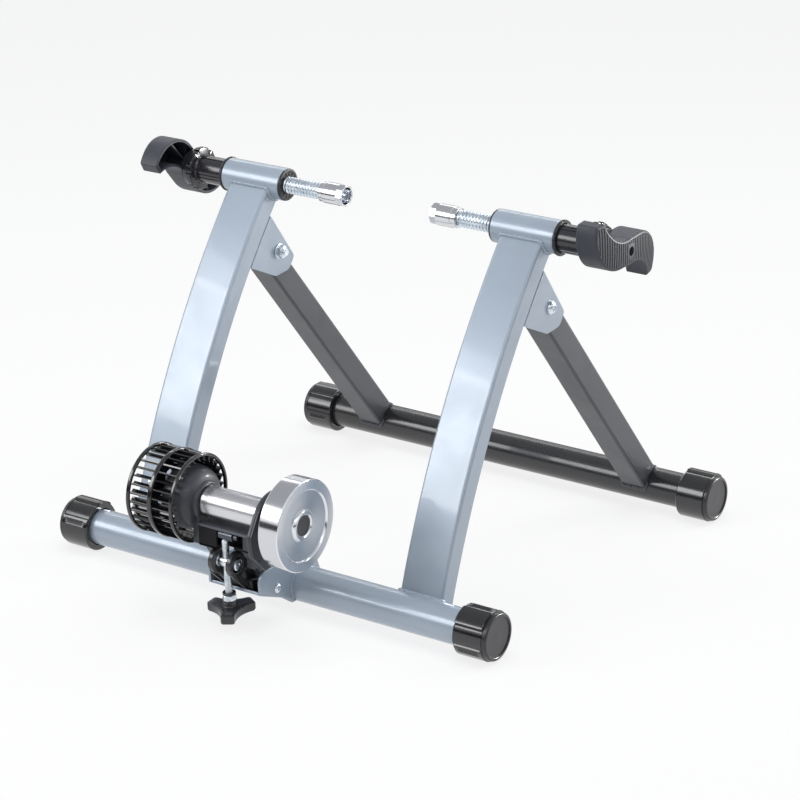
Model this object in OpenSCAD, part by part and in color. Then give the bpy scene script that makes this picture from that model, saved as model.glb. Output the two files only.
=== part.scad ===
// Folding turbo trainer with a fan and flywheel roller unit, in millimetres.
// X runs along the base tubes, Y from the roller to the rear tube, Z up from the floor.

/* [Base tubes] */
// Distance between the axes of the two base tubes
base_depth = 437; // [400:1:480]
// Half length of a base tube over its caps
base_half = 268.5; // [250:0.5:300]
// Radius of both base tubes
base_r = 19; // [17:0.5:20]
// Wall of both base tubes
base_wall = 1.5; // [1:0.25:3]

/* [Levelling caps] */
// Radius of a cap where it stands on the floor
cap_r = 26; // [24:0.5:29]
// Length of a cap along its tube
cap_len = 38; // [30:1:50]
// Thickness of the closed end of a cap
cap_end = 4.5; // [3:0.5:8]
// Height of the raised levelling segment above the cap
cap_rise = 1.4; // [0.6:0.2:3]
// Depth of the recessed levelling segment
cap_dip = 1.4; // [0.6:0.2:3]
// Angle that one levelling segment takes
cap_segment = 48; // [30:1:60]

/* [Uprights] */
// Distance of an upright's middle from the middle of the trainer
upright_x = 170; // [155:1:190]
// Width of the upright tube along X
upright_w = 50; // [46:1:60]
// Depth of the upright tube
upright_d = 24; // [20:1:30]
// Wall of the upright tube
upright_wall = 1.5; // [1:0.25:3]
// Corner radius of the upright tube
upright_corner = 3; // [2:0.5:5]
// Radius of the bow of the upright's middle line
bow_r = 989; // [700:1:1600]
// How far the foot's middle line lies behind the base tube's axis
foot_back = 17.6; // [10:0.2:22]

/* [Axle clamps] */
// Distance of the clamp axis behind the front base tube
clamp_y = 204; // [185:1:220]
// Height of the clamp axis over the base tube's axis
clamp_z = 343; // [320:1:370]
// Distance from the middle to the inner end of a sleeve
sleeve_in = 132.7; // [120:0.1:140]
// Length of a sleeve
sleeve_len = 74; // [60:1:90]
// Outer radius of a sleeve
sleeve_r = 17.5; // [16.5:0.5:22]
// Wall of a sleeve
sleeve_wall = 1.5; // [1:0.25:2]
// Radius of the threaded clamp screw
screw_r = 9; // [7:0.5:10]
// Outer radius of the axle cup
cup_r = 11.5; // [11:0.5:14]
// Length of the axle cup
cup_len = 31; // [28:1:40]
// Radius of the cup's bore
cup_bore_r = 8.8; // [7:0.1:9]
// Depth of the cup's bore
cup_bore_len = 17; // [14:1:20]
// Distance from the middle to the cup's mouth at rest
cup_mouth = 55; // [50:1:60]

/* [Clamp handles] */
// Distance from the middle to the collar of the handle
collar_in = 244; // [242:1:260]
// Length of the collar
collar_len = 12; // [6:1:14]
// Radius of the collar
collar_r = 23; // [19:0.5:26]
// Distance from the middle to the face of the knob
knob_face = 287.5; // [282:0.5:300]
// Depth of the knob from its back edge to its face
knob_depth = 30; // [24:1:31]
// Wall of the hollow knob
knob_wall = 3; // [2:0.5:4]
// Radius of the knob's outer lobe
knob_lobe_r = 37; // [33:1:40]
// Radius of the knob's finger hollow
knob_hollow_r = 35; // [32:1:38]
// Radius of the dome of the knob's face
knob_dome_r = 280; // [150:5:400]
// Turn of the left knob at rest
left_knob_turn = 46; // [0:1:90]

/* [Folding joint] */
// Distance of the fold pivot behind the front base tube
fold_y = 205; // [195:1:215]
// Height of the fold pivot over the base tube's axis
fold_z = 267.5; // [255:0.5:280]
// Radius of the fold bolt
fold_bolt_r = 4; // [3:0.5:5]
// Thickness of a gusset plate
plate_t = 3; // [2:0.5:4]
// Reach of a gusset plate behind the pivot
plate_back = 27.5; // [24:0.5:32]
// Distance from the clamp to the top of the gusset plates, along the upright
plate_top = 35; // [30:1:40]
// Distance from the clamp to the bottom of the gusset plates, along the upright
plate_low = 93; // [85:1:105]
// Reach of a gusset plate below the pivot
plate_drop = 27; // [24:0.5:32]

/* [Rear legs] */
// Width of a leg along X
leg_w = 30; // [24:1:34]
// Depth of a leg
leg_d = 29; // [24:1:32]
// Wall of a leg
leg_wall = 1.5; // [1:0.25:3]
// How far a leg reaches beyond the fold pivot
leg_top = 17; // [14:1:20]
// Gap between a leg and the outer gusset plate
leg_gap = 1.8; // [1.2:0.2:3]

/* [Unit bracket] */
// Outer width of the U bracket
bracket_w = 65; // [63:1:72]
// Thickness of the U bracket
bracket_t = 3; // [2:0.5:4]
// Distance of the unit pivot in front of the base tube
unit_front = 42; // [38:1:46]
// Height of the unit pivot over the base tube's axis
unit_up = 9; // [6:0.5:12]
// Radius of the unit pivot bolt
unit_bolt_r = 3; // [2.5:0.5:4]
// Radius of the cradle's hinge barrels
barrel_r = 11; // [8:0.5:12]
// How far the cradle tilts toward the wheel
cradle_tilt = 12; // [8:1:13]

/* [Roller] */
// Distance of the roller axis in front of the base tube
roller_front = 73; // [70:1:76]
// Height of the roller axis over the base tube's axis
roller_up = 100; // [97:1:104]
// Radius of the roller
roller_r = 16; // [14.5:0.5:18]
// X of the roller's fan side end
roller_left = -27.5; // [-30:0.5:-26]
// X of the roller's flywheel side end
roller_right = 49; // [44:0.5:50]
// Radius of the roller shaft
shaft_r = 6; // [5:0.5:6]

/* [Flywheel] */
// Radius of the flywheel
flywheel_r = 47; // [42:0.5:48]
// Thickness of the flywheel's rim
flywheel_t = 23; // [18:1:24]
// X of the flywheel's outer face
flywheel_face = 91; // [88:1:96]
// Radius of the flywheel's black plug
plug_r = 10.5; // [8:0.5:12]

/* [Fan] */
// Outer radius of the fan
fan_r = 46; // [44:0.5:46.5]
// X of the middle of the fan's inner ring
fan_right = -41; // [-44:1:-40]
// Distance from one fan ring to the next
fan_pitch = 27; // [24:1:30]
// Width of a fan ring along X
fan_ring_w = 4; // [2:0.5:6]
// Depth of a fan ring
fan_ring_d = 3.5; // [2:0.5:5]
// Number of fan blades
fan_blades = 30; // [20:1:36]
// Depth of a fan blade
blade_d = 8; // [5:0.5:9]
// Thickness of a fan blade
blade_t = 1.4; // [1:0.2:2]
// Slant of a fan blade
blade_slant = 24; // [0:1:35]

/* [Adjuster] */
// Distance of the cross pin in front of the base tube
pin_front = 82; // [80:1:84]
// Height of the cross pin over the base tube's axis
pin_up = 44; // [42:0.5:46]
// Radius of the cross pin
pin_r = 6.4; // [6:0.2:7]
// Forward lean of the adjuster rod
rod_lean = 5; // [0:0.5:8]
// Radius of the adjuster rod
rod_r = 3.9; // [3:0.1:4]
// Distance from the cross pin down to the adjuster knob's neck
knob_below = 42; // [40:1:45]
// Reach of a lobe of the adjuster knob
star_reach = 25; // [23:1:30]
// Thickness of the adjuster knob's lobes
star_t = 11; // [8:1:12]
// Outer radius of the bosses that hold the cross pin
boss_r = 13.4; // [11:0.2:14]
// Thickness of one ear
ear_t = 6; // [4:0.5:7]
// Gap between the ears
ear_gap = 16; // [14:1:20]

/* [Clearances] */
// Radial clearance of a running fit
run = 0.06; // [0.03:0.01:0.1]
// Gap between parts that move past each other
gap = 0.3; // [0.3:0.1:0.5]

/* [Hidden] */
$fn = 64;
eps = 0.01;
silver = [0.70, 0.75, 0.81];
satin_black = [0.20, 0.21, 0.23];
gloss_black = [0.09, 0.09, 0.10];
zinc = [0.78, 0.82, 0.86];
chrome = [0.86, 0.87, 0.89];

// Places that follow from the sizes
unit_pivot = [-unit_front, unit_up];
roller_axis = [-roller_front, roller_up];
fold_pivot = [fold_y, fold_z];
clamp_axis = [clamp_y, clamp_z];
rear_axis = [base_depth, 0];
cross_axis = [-pin_front, pin_up];
front_reach = roller_front + max(flywheel_r, fan_r);
middle_y = (base_depth + cap_r - front_reach) / 2;
tube_half = base_half - cap_end - gap;
sleeve_out = sleeve_in + sleeve_len;
sleeve_bore_r = sleeve_r - sleeve_wall;

// Circle of the bowed upright, through its foot and the clamp axis
foot_point = [foot_back, 0];
bow_chord = clamp_axis - foot_point;
bow_dir = bow_chord / norm(bow_chord);
bow_centre = (clamp_axis + foot_point) / 2
    + [bow_dir[1], -bow_dir[0]] * sqrt(bow_r * bow_r - bow_chord * bow_chord / 4);
bow_top = atan2(clamp_axis[1] - bow_centre[1], clamp_axis[0] - bow_centre[0]);
bow_foot = atan2(foot_point[1] - bow_centre[1], foot_point[0] - bow_centre[0]);
upright_toe = -0.3 * base_r;
inner_face = upright_x - upright_w / 2;
outer_face = upright_x + upright_w / 2;

// Leg between its two gusset plates
leg_out = outer_face - plate_t - leg_gap;
leg_in = leg_out - leg_w;
leg_vector = rear_axis - fold_pivot;
leg_len = norm(leg_vector);
leg_angle = atan2(leg_vector[1], leg_vector[0]);

// Rounds one corner b of an outline, coming from a and going to c
function unit(v) = v / norm(v);
function corner(a, b, c, r, n = 6) =
    let (u = unit(a - b), w = unit(c - b), half = acos(u * w) / 2, m = b + unit(u + w) * r / sin(half),
         p = b + u * r / tan(half) - m, q = b + w * r / tan(half) - m,
         start = atan2(p[1], p[0]), turn = atan2(p[0] * q[1] - p[1] * q[0], p * q))
    [for (i = [0 : n]) m + r * [cos(start + turn * i / n), sin(start + turn * i / n)]];
// Outline through points that each carry their own corner radius as a third value
function rounded(points) =
    let (n = len(points))
    [for (i = [0 : n - 1])
        let (a = points[(i + n - 1) % n], b = points[i], c = points[(i + 1) % n])
        for (p = b[2] > 0 ? corner([a[0], a[1]], [b[0], b[1]], [c[0], c[1]], b[2]) : [[b[0], b[1]]]) p];
function arc(centre, r, from, to, n = 12) =
    [for (i = [0 : n]) centre + r * [cos(from + (to - from) * i / n), sin(from + (to - from) * i / n)]];
function bow_point(distance) =
    let (a = bow_top + distance / bow_r * 180 / PI) bow_centre + bow_r * [cos(a), sin(a)];

// Moves the frame, modelled round the front base tube's axis, to its place on the floor
module place() {
    translate([0, -middle_y, cap_r]) children();
}
// Outline in the YZ plane, drawn out along X
module plate_x(points, x0, x1) {
    translate([x0, 0, 0]) rotate([90, 0, 90]) linear_extrude(height = x1 - x0) polygon(points);
}
module rod_x(r, x0, x1, at = [0, 0]) {
    translate([x0, at[0], at[1]]) rotate([0, 90, 0]) cylinder(h = x1 - x0, r = r);
}
module ring_x(r, bore, x0, x1, at = [0, 0]) {
    difference() {
        rod_x(r, x0, x1, at);
        rod_x(bore, x0 - 1, x1 + 1, at);
    }
}
module hex_x(width, x0, x1, at = [0, 0]) {
    translate([x0, at[0], at[1]]) rotate([0, 90, 0]) cylinder(h = x1 - x0, r = width / sqrt(3), $fn = 6);
}
module left_side() {
    mirror([1, 0, 0]) children();
}
// Turns from the bench, with the clamp on the X axis, to the clamp's place
module at_clamp() {
    place() translate([0, clamp_y, clamp_z]) children();
}
// The same moulding serves the left side when it is turned about the vertical axis
module at_left_clamp() {
    at_clamp() rotate([0, 0, 180]) children();
}

// Base tubes and their caps
module base_tube(y) {
    place() ring_x(base_r, base_r - base_wall, -tube_half, tube_half, [y, 0]);
}
module front_base_tube() {
    color(silver) base_tube(0);
}
module rear_base_tube() {
    color(gloss_black) base_tube(base_depth);
}
module wedge_x(r, from, to, x0, x1) {
    intersection() {
        rod_x(r, x0, x1);
        plate_x(concat([[0, 0]], arc([0, 0], r * 1.5, from, to, 6)), x0, x1);
    }
}
module cap(turn) {
    cap_in = base_half - cap_len;
    rim = base_half - 5;
    rotate([turn, 0, 0]) difference() {
        union() {
            rod_x(cap_r, cap_in, rim);
            rod_x(cap_r - cap_dip, cap_in, base_half - 1);
            rod_x(cap_r - cap_dip - 1.2, cap_in, base_half);
            wedge_x(cap_r + cap_rise, 70, 70 + cap_segment, cap_in, rim);
        }
        rod_x(base_r + run, cap_in - 1, base_half - cap_end);
        difference() {
            wedge_x(cap_r + 2, 70 + cap_segment, 70 + 2 * cap_segment, cap_in - 1, rim - 4);
            rod_x(cap_r - cap_dip, cap_in - 2, rim);
        }
    }
}
module front_right_cap() {
    color(satin_black) place() cap(30);
}
module front_left_cap() {
    color(satin_black) place() left_side() cap(-20);
}
module rear_right_cap() {
    color(satin_black) place() translate([0, base_depth, 0]) cap(-25);
}
module rear_left_cap() {
    color(satin_black) place() translate([0, base_depth, 0]) left_side() cap(12);
}

// Front frame
function bar_section(w, d, r) =
    rounded([for (p = [[-d, -w], [d, -w], [d, w], [-d, w]]) [bow_r + p[0] / 2, p[1] / 2, r]]);
module bowed_bar(w, d, r) {
    toe = upright_toe / bow_r * 180 / PI;
    translate([upright_x, bow_centre[0], bow_centre[1]]) rotate([90, 0, 90]) rotate([0, 0, bow_top])
        rotate_extrude(angle = bow_foot - bow_top + toe, $fn = 720) polygon(bar_section(w, d, r));
}
module upright() {
    hollow = 2 * upright_wall;
    difference() {
        bowed_bar(upright_w, upright_d, upright_corner);
        bowed_bar(upright_w - hollow, upright_d - hollow, max(upright_corner - upright_wall, 0));
        rod_x(base_r, inner_face - 1, outer_face + 1);
        rod_x(sleeve_r, inner_face - 1, outer_face + 1, clamp_axis);
    }
}
module right_upright() {
    color(silver) place() upright();
}
module left_upright() {
    color(silver) place() left_side() upright();
}
module sleeve() {
    ring_x(sleeve_r, sleeve_bore_r, sleeve_in, sleeve_out);
}
module right_sleeve() {
    color(silver) at_clamp() sleeve();
}
module left_sleeve() {
    color(silver) at_clamp() left_side() sleeve();
}
module gusset_pair() {
    top = bow_point(plate_top);
    low = bow_point(plate_low);
    outline = rounded([[top[0], top[1], 0],
                       [fold_y + plate_back, fold_z - 11.5, 5],
                       [fold_y + plate_back - 9, fold_z - plate_drop + 2, 11],
                       [fold_y - 5, fold_z - plate_drop, 9],
                       [low[0], low[1], 0]]);
    difference() {
        union() {
            plate_x(outline, inner_face, inner_face + plate_t);
            plate_x(outline, outer_face - plate_t, outer_face);
        }
        bowed_bar(upright_w + 2, upright_d, 0);
        rod_x(fold_bolt_r + run, inner_face - 1, outer_face + 1, fold_pivot);
    }
}
module gusset_plates() {
    color(silver) place() {
        gusset_pair();
        left_side() gusset_pair();
    }
}

// Bushes in the clamp sleeves
bush_lip = 2;
guide_lip = 3;
module inner_bush() {
    difference() {
        union() {
            rod_x(sleeve_r - 0.4, sleeve_in - bush_lip, sleeve_in);
            rod_x(sleeve_bore_r, sleeve_in - eps, sleeve_in + 7);
        }
        rod_x(screw_r + run, sleeve_in - bush_lip - 1, sleeve_in + 8);
    }
}
module right_inner_bush() {
    color(gloss_black) at_clamp() inner_bush();
}
module left_inner_bush() {
    color(gloss_black) at_clamp() left_side() inner_bush();
}
handle_r = sleeve_bore_r - 1.2;
module outer_bush() {
    difference() {
        union() {
            rod_x(sleeve_r + 1, sleeve_out, sleeve_out + guide_lip);
            rod_x(sleeve_bore_r, sleeve_out - 11, sleeve_out + eps);
        }
        rod_x(handle_r + run, sleeve_out - 12, sleeve_out + guide_lip + 1);
    }
}
module right_outer_bush() {
    color(gloss_black) at_clamp() outer_bush();
}
module left_outer_bush() {
    color(gloss_black) at_clamp() left_side() outer_bush();
}

// Fasteners of the folding joint
washer_t = 1.6;
nut_t = 6.5;
nut_w = 3.25 * fold_bolt_r;
head_r = 1.8 * fold_bolt_r;
head_t = 1.1 * fold_bolt_r;
module fold_bolt() {
    difference() {
        union() {
            rod_x(fold_bolt_r, inner_face - washer_t - nut_t - 2.5, outer_face + eps, fold_pivot);
            rod_x(head_r, outer_face, outer_face + head_t - 1.2, fold_pivot);
            rod_x(head_r - 1, outer_face, outer_face + head_t, fold_pivot);
        }
        hex_x(fold_bolt_r * 1.25, outer_face + head_t - 2.4, outer_face + head_t + 1, fold_pivot);
    }
}
module fold_bolts() {
    color(zinc) place() {
        fold_bolt();
        left_side() fold_bolt();
    }
}
module fold_nut() {
    difference() {
        hex_x(nut_w, inner_face - washer_t - nut_t, inner_face - washer_t, fold_pivot);
        rod_x(fold_bolt_r, inner_face - washer_t - nut_t - 1, inner_face, fold_pivot);
    }
}
module fold_nuts() {
    color(zinc) place() {
        fold_nut();
        left_side() fold_nut();
    }
}
module fold_washer() {
    ring_x(2.1 * fold_bolt_r, fold_bolt_r, inner_face - washer_t, inner_face, fold_pivot);
}
module fold_washers() {
    color(zinc) place() {
        fold_washer();
        left_side() fold_washer();
    }
}
module fold_spacer_pair() {
    ring_x(2 * fold_bolt_r, fold_bolt_r, inner_face + plate_t, leg_in - gap, fold_pivot);
    ring_x(2 * fold_bolt_r, fold_bolt_r, leg_out + gap, outer_face - plate_t, fold_pivot);
}
module fold_spacers() {
    color(satin_black) place() {
        fold_spacer_pair();
        left_side() fold_spacer_pair();
    }
}

// Rear frame
module leg_bar(w, d, from, to) {
    translate([(leg_in + leg_out) / 2, fold_y, fold_z]) rotate([leg_angle, 0, 0])
        translate([-w / 2, from, -d / 2]) cube([w, to - from, d]);
}
module leg() {
    difference() {
        leg_bar(leg_w, leg_d, -leg_top, leg_len);
        leg_bar(leg_w - 2 * leg_wall, leg_d - 2 * leg_wall, -leg_top - 1, leg_len + 1);
        rod_x(base_r, leg_in - 1, leg_out + 1, rear_axis);
        rod_x(fold_bolt_r + run, leg_in - 1, leg_out + 1, fold_pivot);
    }
}
module right_leg() {
    color(satin_black) place() leg();
}
module left_leg() {
    color(satin_black) place() left_side() leg();
}

// Axle clamps, drawn round the X axis and brought to the clamp
cup_back = cup_mouth + cup_len;
clamp_in = 25;
spigot_r = screw_r * 2 / 3;
pocket = 3;
spigot_end = cup_mouth + cup_bore_len + pocket - gap;
screw_out = knob_face - 19;
module axle_cup() {
    difference() {
        union() {
            rod_x(cup_r, cup_mouth, cup_back - 6);
            rod_x(cup_r - 0.8, cup_mouth, cup_back);
        }
        rod_x(cup_bore_r, cup_mouth - 1, cup_mouth + cup_bore_len);
        rod_x(spigot_r + 1.5 + gap, cup_mouth, cup_mouth + cup_bore_len + pocket);
        rod_x(spigot_r + run, cup_mouth, cup_back + 1);
        for (a = [0 : 60 : 300])
            rotate([a, 0, 0]) translate([cup_mouth - 1, -1, cup_r - 0.9]) cube([5, 2, 2]);
    }
}
module right_axle_cup() {
    color(chrome) at_clamp() axle_cup();
}
module left_axle_cup() {
    color(chrome) at_left_clamp() axle_cup();
}
module clamp_screw() {
    rod_x(screw_r, cup_back + gap, screw_out);
    rod_x(spigot_r, spigot_end - 1, cup_back + 1);
    rod_x(spigot_r + 1.5, spigot_end - 1.8, spigot_end);
}
module right_clamp_screw() {
    color(zinc) at_clamp() clamp_screw();
}
module left_clamp_screw() {
    color(zinc) at_left_clamp() clamp_screw();
}
handle_in = sleeve_in + 7 + clamp_in + gap;
module handle_tube() {
    groove_len = collar_in - sleeve_out - 10;
    difference() {
        union() {
            rod_x(handle_r, handle_in, collar_in + 1);
            rod_x(collar_r, collar_in, collar_in + collar_len - 4);
            rod_x(collar_r - 2.5, collar_in, collar_in + collar_len);
        }
        rod_x(screw_r, handle_in - 1, collar_in + collar_len + 1);
        // Notches of the collar and the lengthwise grooves
        for (a = [15 : 60 : 315])
            rotate([a, 0, 0]) translate([collar_in - 1, -3, collar_r - 1.6]) cube([6, 6, 4]);
        for (a = [45 : 90 : 315])
            rotate([a, 0, 0]) translate([sleeve_out + 6, -0.8, handle_r - 1]) cube([groove_len, 1.6, 2]);
    }
}
module right_handle_tube() {
    color(gloss_black) at_clamp() handle_tube();
}
module left_handle_tube() {
    color(gloss_black) at_left_clamp() rotate([left_knob_turn, 0, 0]) handle_tube();
}
knob_lobe_at = [20, -22];
knob_lobe_from = 95;
knob_lobe_to = -22;
knob_hollow_at = [9, -48];
knob_hollow_from = 18;
knob_hollow_to = 103;
knob_screw_r = 2.2;
knob_seat_r = 4.2;
// Half outline of the knob, seen from its face, with the lobe and hollow set in by a wall
function knob_half(wall) =
    concat(arc(knob_lobe_at, knob_lobe_r - wall, knob_lobe_from, knob_lobe_to + wall * 1.5),
           arc(knob_hollow_at, knob_hollow_r + wall, knob_hollow_from + wall * 1.5, knob_hollow_to));
function knob_outline(wall) =
    concat(knob_half(wall), [for (p = knob_half(wall)) -p]);
module knob_dome(inset) {
    translate([knob_face - knob_dome_r, 0, 0]) sphere(r = knob_dome_r - inset, $fn = 360);
}
module knob() {
    back = knob_face - knob_depth;
    collar_end = collar_in + collar_len;
    hub_r = screw_r + 4;
    difference() {
        union() {
            intersection() {
                plate_x(knob_outline(0), back, knob_face);
                knob_dome(0);
            }
            rod_x(collar_r - 5, collar_end, back + 2);
        }
        difference() {
            intersection() {
                plate_x(knob_outline(knob_wall), back - 1, knob_face);
                knob_dome(knob_wall);
            }
            rod_x(collar_r - 5, collar_end - 1, back + 2);
            rod_x(hub_r, collar_end, knob_face);
        }
        rod_x(screw_r, collar_end - 1, screw_out);
        rod_x(knob_screw_r, collar_end, knob_face + 1);
        rod_x(knob_seat_r, knob_face - 5, knob_face + 1);
    }
}
module right_knob() {
    color(satin_black) at_clamp() knob();
}
module left_knob() {
    color(satin_black) at_left_clamp() rotate([left_knob_turn, 0, 0]) knob();
}
module knob_screw() {
    difference() {
        union() {
            rod_x(knob_screw_r, screw_out, knob_face - 4);
            rod_x(knob_seat_r - 0.1, knob_face - 5, knob_face - 2);
        }
        hex_x(3, knob_face - 3.5, knob_face);
    }
}
module right_knob_screw() {
    color(zinc) at_clamp() knob_screw();
}
module left_knob_screw() {
    color(zinc) at_left_clamp() knob_screw();
}

// U bracket round the base tube that carries the unit
bracket_face = bracket_w / 2;
bracket_inner = bracket_face - bracket_t;
web_front = [-unit_front - 28, unit_up + 1];
web_back = [-unit_front + 7, unit_up - 13];
module bracket_plate(x0) {
    difference() {
        plate_x(rounded([[web_front[0], web_front[1], 2],
                         [-unit_front - 30, unit_up + 25, 18],
                         [-12, unit_up + 25, 12],
                         [base_r + 6, base_r, 8],
                         [base_r + 14, 0, 8],
                         [base_r + 2, -base_r + 3, 8],
                         [-base_r + 2, -base_r + 3, 6],
                         [web_back[0], web_back[1], 2]]), x0, x0 + bracket_t);
        rod_x(base_r, x0 - 1, x0 + bracket_t + 1);
        rod_x(unit_bolt_r + run, x0 - 1, x0 + bracket_t + 1, unit_pivot);
    }
}
module bracket_web() {
    along = web_back - web_front;
    translate([-bracket_inner - eps, web_front[0], web_front[1]]) rotate([atan2(along[1], along[0]), 0, 0])
        cube([2 * (bracket_inner + eps), norm(along), bracket_t]);
}
module unit_bracket() {
    color(silver) place() {
        bracket_plate(bracket_inner);
        bracket_plate(-bracket_face);
        bracket_web();
    }
}

// Black bracket with two ears that hold the cross pin
ear_in = ear_gap / 2;
ear_out = ear_in + ear_t;
block_half = 20;
web_angle = atan2((web_back - web_front)[1], (web_back - web_front)[0]);
// Point on the top of the bracket's web, at a distance from its front edge
function on_web(distance) =
    web_front + distance * [cos(web_angle), sin(web_angle)] + bracket_t * [-sin(web_angle), cos(web_angle)];
// Height of the unit pivot over the top of the web
web_gap = (unit_pivot - on_web(0)) * [-sin(web_angle), cos(web_angle)];
module ear_bracket() {
    seat_front = on_web(3);
    seat_back = on_web(36);
    color(gloss_black) place() difference() {
        union() {
            for (side = [-1, 1]) {
                x0 = side > 0 ? ear_in : -ear_out;
                rod_x(boss_r, x0, x0 + ear_t, cross_axis);
                plate_x([[-pin_front - boss_r * 0.97, pin_up - 2], seat_front, seat_back,
                         [-unit_front + 12, unit_up + 6], [-unit_front - 6, unit_up + 14],
                         [-pin_front + boss_r * 0.8, pin_up + boss_r * 0.6]], x0, x0 + ear_t);
            }
            plate_x([seat_front, seat_back, [-unit_front + 12, unit_up + 6], [-unit_front - 6, unit_up + 10],
                     [seat_front[0] - 3, seat_front[1] + 12]], -block_half, block_half);
        }
        rod_x(pin_r + run, -ear_out - 1, ear_out + 1, cross_axis);
        rod_x(unit_bolt_r + run, -block_half - 1, block_half + 1, unit_pivot);
        rod_x(base_r + gap, -block_half - 1, block_half + 1);
    }
}
module unit_bolt() {
    color(zinc) place() {
        rod_x(unit_bolt_r, -bracket_face - 8, bracket_face + eps, unit_pivot);
        rod_x(1.7 * unit_bolt_r, bracket_face, bracket_face + 2.4, unit_pivot);
    }
}
module unit_nut() {
    color(zinc) place() difference() {
        hex_x(3.3 * unit_bolt_r, -bracket_face - 5, -bracket_face, unit_pivot);
        rod_x(unit_bolt_r, -bracket_face - 6, -bracket_face + 1, unit_pivot);
    }
}

// Cradle of the roller, hung on the unit bolt
bearing_r = 14;
bearing_t = 8;
lobe_r = 31.5;
lobe_axis = roller_axis + [-2, -3];
flare_from = 151;
flare_high = roller_axis + [-41.8, -8.5];
flare_low = roller_axis + [-38, -30];
cheek_in = roller_right + 0.5;
cheek_out = cheek_in + 4;
boss_out = cheek_out + 9;
housing_in = roller_left - 0.5;
housing_out = housing_in - 34;
channel_low = pin_up + boss_r + 1.1;
channel_top = roller_up - roller_r - 2;
channel_front = -pin_front - 11;
channel_back = channel_front + 33;
arm_in = block_half + gap;
arm_out = bracket_inner - gap;
// Point on the barrel's flat that lies over the web when the cradle has made a turn
function barrel_flat(turn, along) =
    unit_pivot + along * [cos(web_angle + turn), sin(web_angle + turn)]
    + (gap - web_gap) * [-sin(web_angle + turn), cos(web_angle + turn)];
module cradle_arm() {
    plate_x(rounded([[-unit_front + 9, unit_up + 2, 3],
                     [channel_back, channel_low - 4, 6],
                     [channel_back, channel_top - 1, 1],
                     [channel_front + 11, channel_top - 1, 1],
                     [channel_front + 11, channel_low, 4],
                     [-unit_front - 10, unit_up + 4, 3]]), arm_in, arm_out);
    // Barrel, flat below so that it stays clear of the bracket's web over the tilt
    difference() {
        rod_x(barrel_r, arm_in, arm_out, unit_pivot);
        plate_x([barrel_flat(0, -2 * barrel_r),
                 barrel_flat(0, (web_gap - gap) * tan(cradle_tilt / 2)),
                 barrel_flat(cradle_tilt, 2 * barrel_r),
                 unit_pivot + barrel_r * [2, -3],
                 unit_pivot + barrel_r * [-2, -3]], arm_in - 1, arm_out + 1);
    }
}
module channel_wall(x0, x1, from, to) {
    translate([x0, from[0], from[1]]) cube([x1 - x0, to[0] - from[0], to[1] - from[1]]);
}
module cradle() {
    wall = 3;
    sheet = 2.5;
    front = channel_front;
    back = channel_back;
    face = front + 2.5;
    panel_end = -rod_r - 2;
    color(satin_black) place() difference() {
        union() {
            cradle_arm();
            left_side() cradle_arm();
            // Channel under the roller
            channel_wall(housing_in, cheek_in, [face, channel_top - wall], [back, channel_top]);
            channel_wall(housing_in, cheek_in, [back - wall, channel_low], [back, channel_top]);
            channel_wall(housing_in, panel_end, [face, channel_low], [back, channel_low + wall]);
            channel_wall(9, cheek_in, [front + 11, channel_low], [back, channel_low + wall]);
            channel_wall(housing_in, panel_end, [face, channel_low], [face + sheet, channel_top]);
            // Jog that joins the flywheel side arm to the cheek
            translate([0, back, 0]) rotate([90, 0, 0]) linear_extrude(height = back - front - 17)
                polygon([[arm_in, pin_up - 4], [arm_out, pin_up - 4], [cheek_out, channel_low - 3],
                         [cheek_out, channel_low + 8], [cheek_in, channel_low + 8], [arm_in, channel_low]]);
            // Flywheel side cheek with its bearing boss
            rod_x(lobe_r, cheek_in, cheek_out, lobe_axis);
            plate_x(rounded([[channel_front + 5, channel_low - 10, 5], [channel_back, channel_low - 6, 5],
                             [channel_back + 10, roller_up - 3, 0], [each lobe_axis, 0],
                             [each lobe_axis + lobe_r * [cos(flare_from), sin(flare_from)], 0],
                             [each flare_high, 9], [each flare_low, 9]]), cheek_in, cheek_out);
            rod_x(bearing_r + 4, cheek_in, boss_out, roller_axis);
            // Fan side housing with its bearing, stepped like a dome
            rod_x(21, housing_in - 6, housing_in, roller_axis);
            rod_x(27, housing_in - 10, housing_in - 4, roller_axis);
            rod_x(31, housing_in - 14, housing_in - 8, roller_axis);
            rod_x(33, housing_out, housing_in - 12, roller_axis);
            channel_wall(housing_in - 8, housing_in, [front + 4, channel_low], [back, roller_up - 12]);
        }
        rod_x(unit_bolt_r + run, -arm_out - 1, arm_out + 1, unit_pivot);
        rod_x(bearing_r, cheek_in - 1, boss_out - 2, roller_axis);
        rod_x(shaft_r + 2, cheek_in - 1, boss_out + 1, roller_axis);
        rod_x(bearing_r, housing_in - 10, housing_in + 1, roller_axis);
        rod_x(shaft_r + 2, housing_out - 1, housing_in + 1, roller_axis);
        rod_x(29, housing_out - 1, housing_in - 16, roller_axis);
    }
}
module cradle_bearings() {
    color(zinc) place() {
        ring_x(bearing_r, shaft_r + run, housing_in - 10, housing_in - 10 + bearing_t, roller_axis);
        ring_x(bearing_r, shaft_r + run, boss_out - 2 - bearing_t, boss_out - 2, roller_axis);
    }
}

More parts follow.
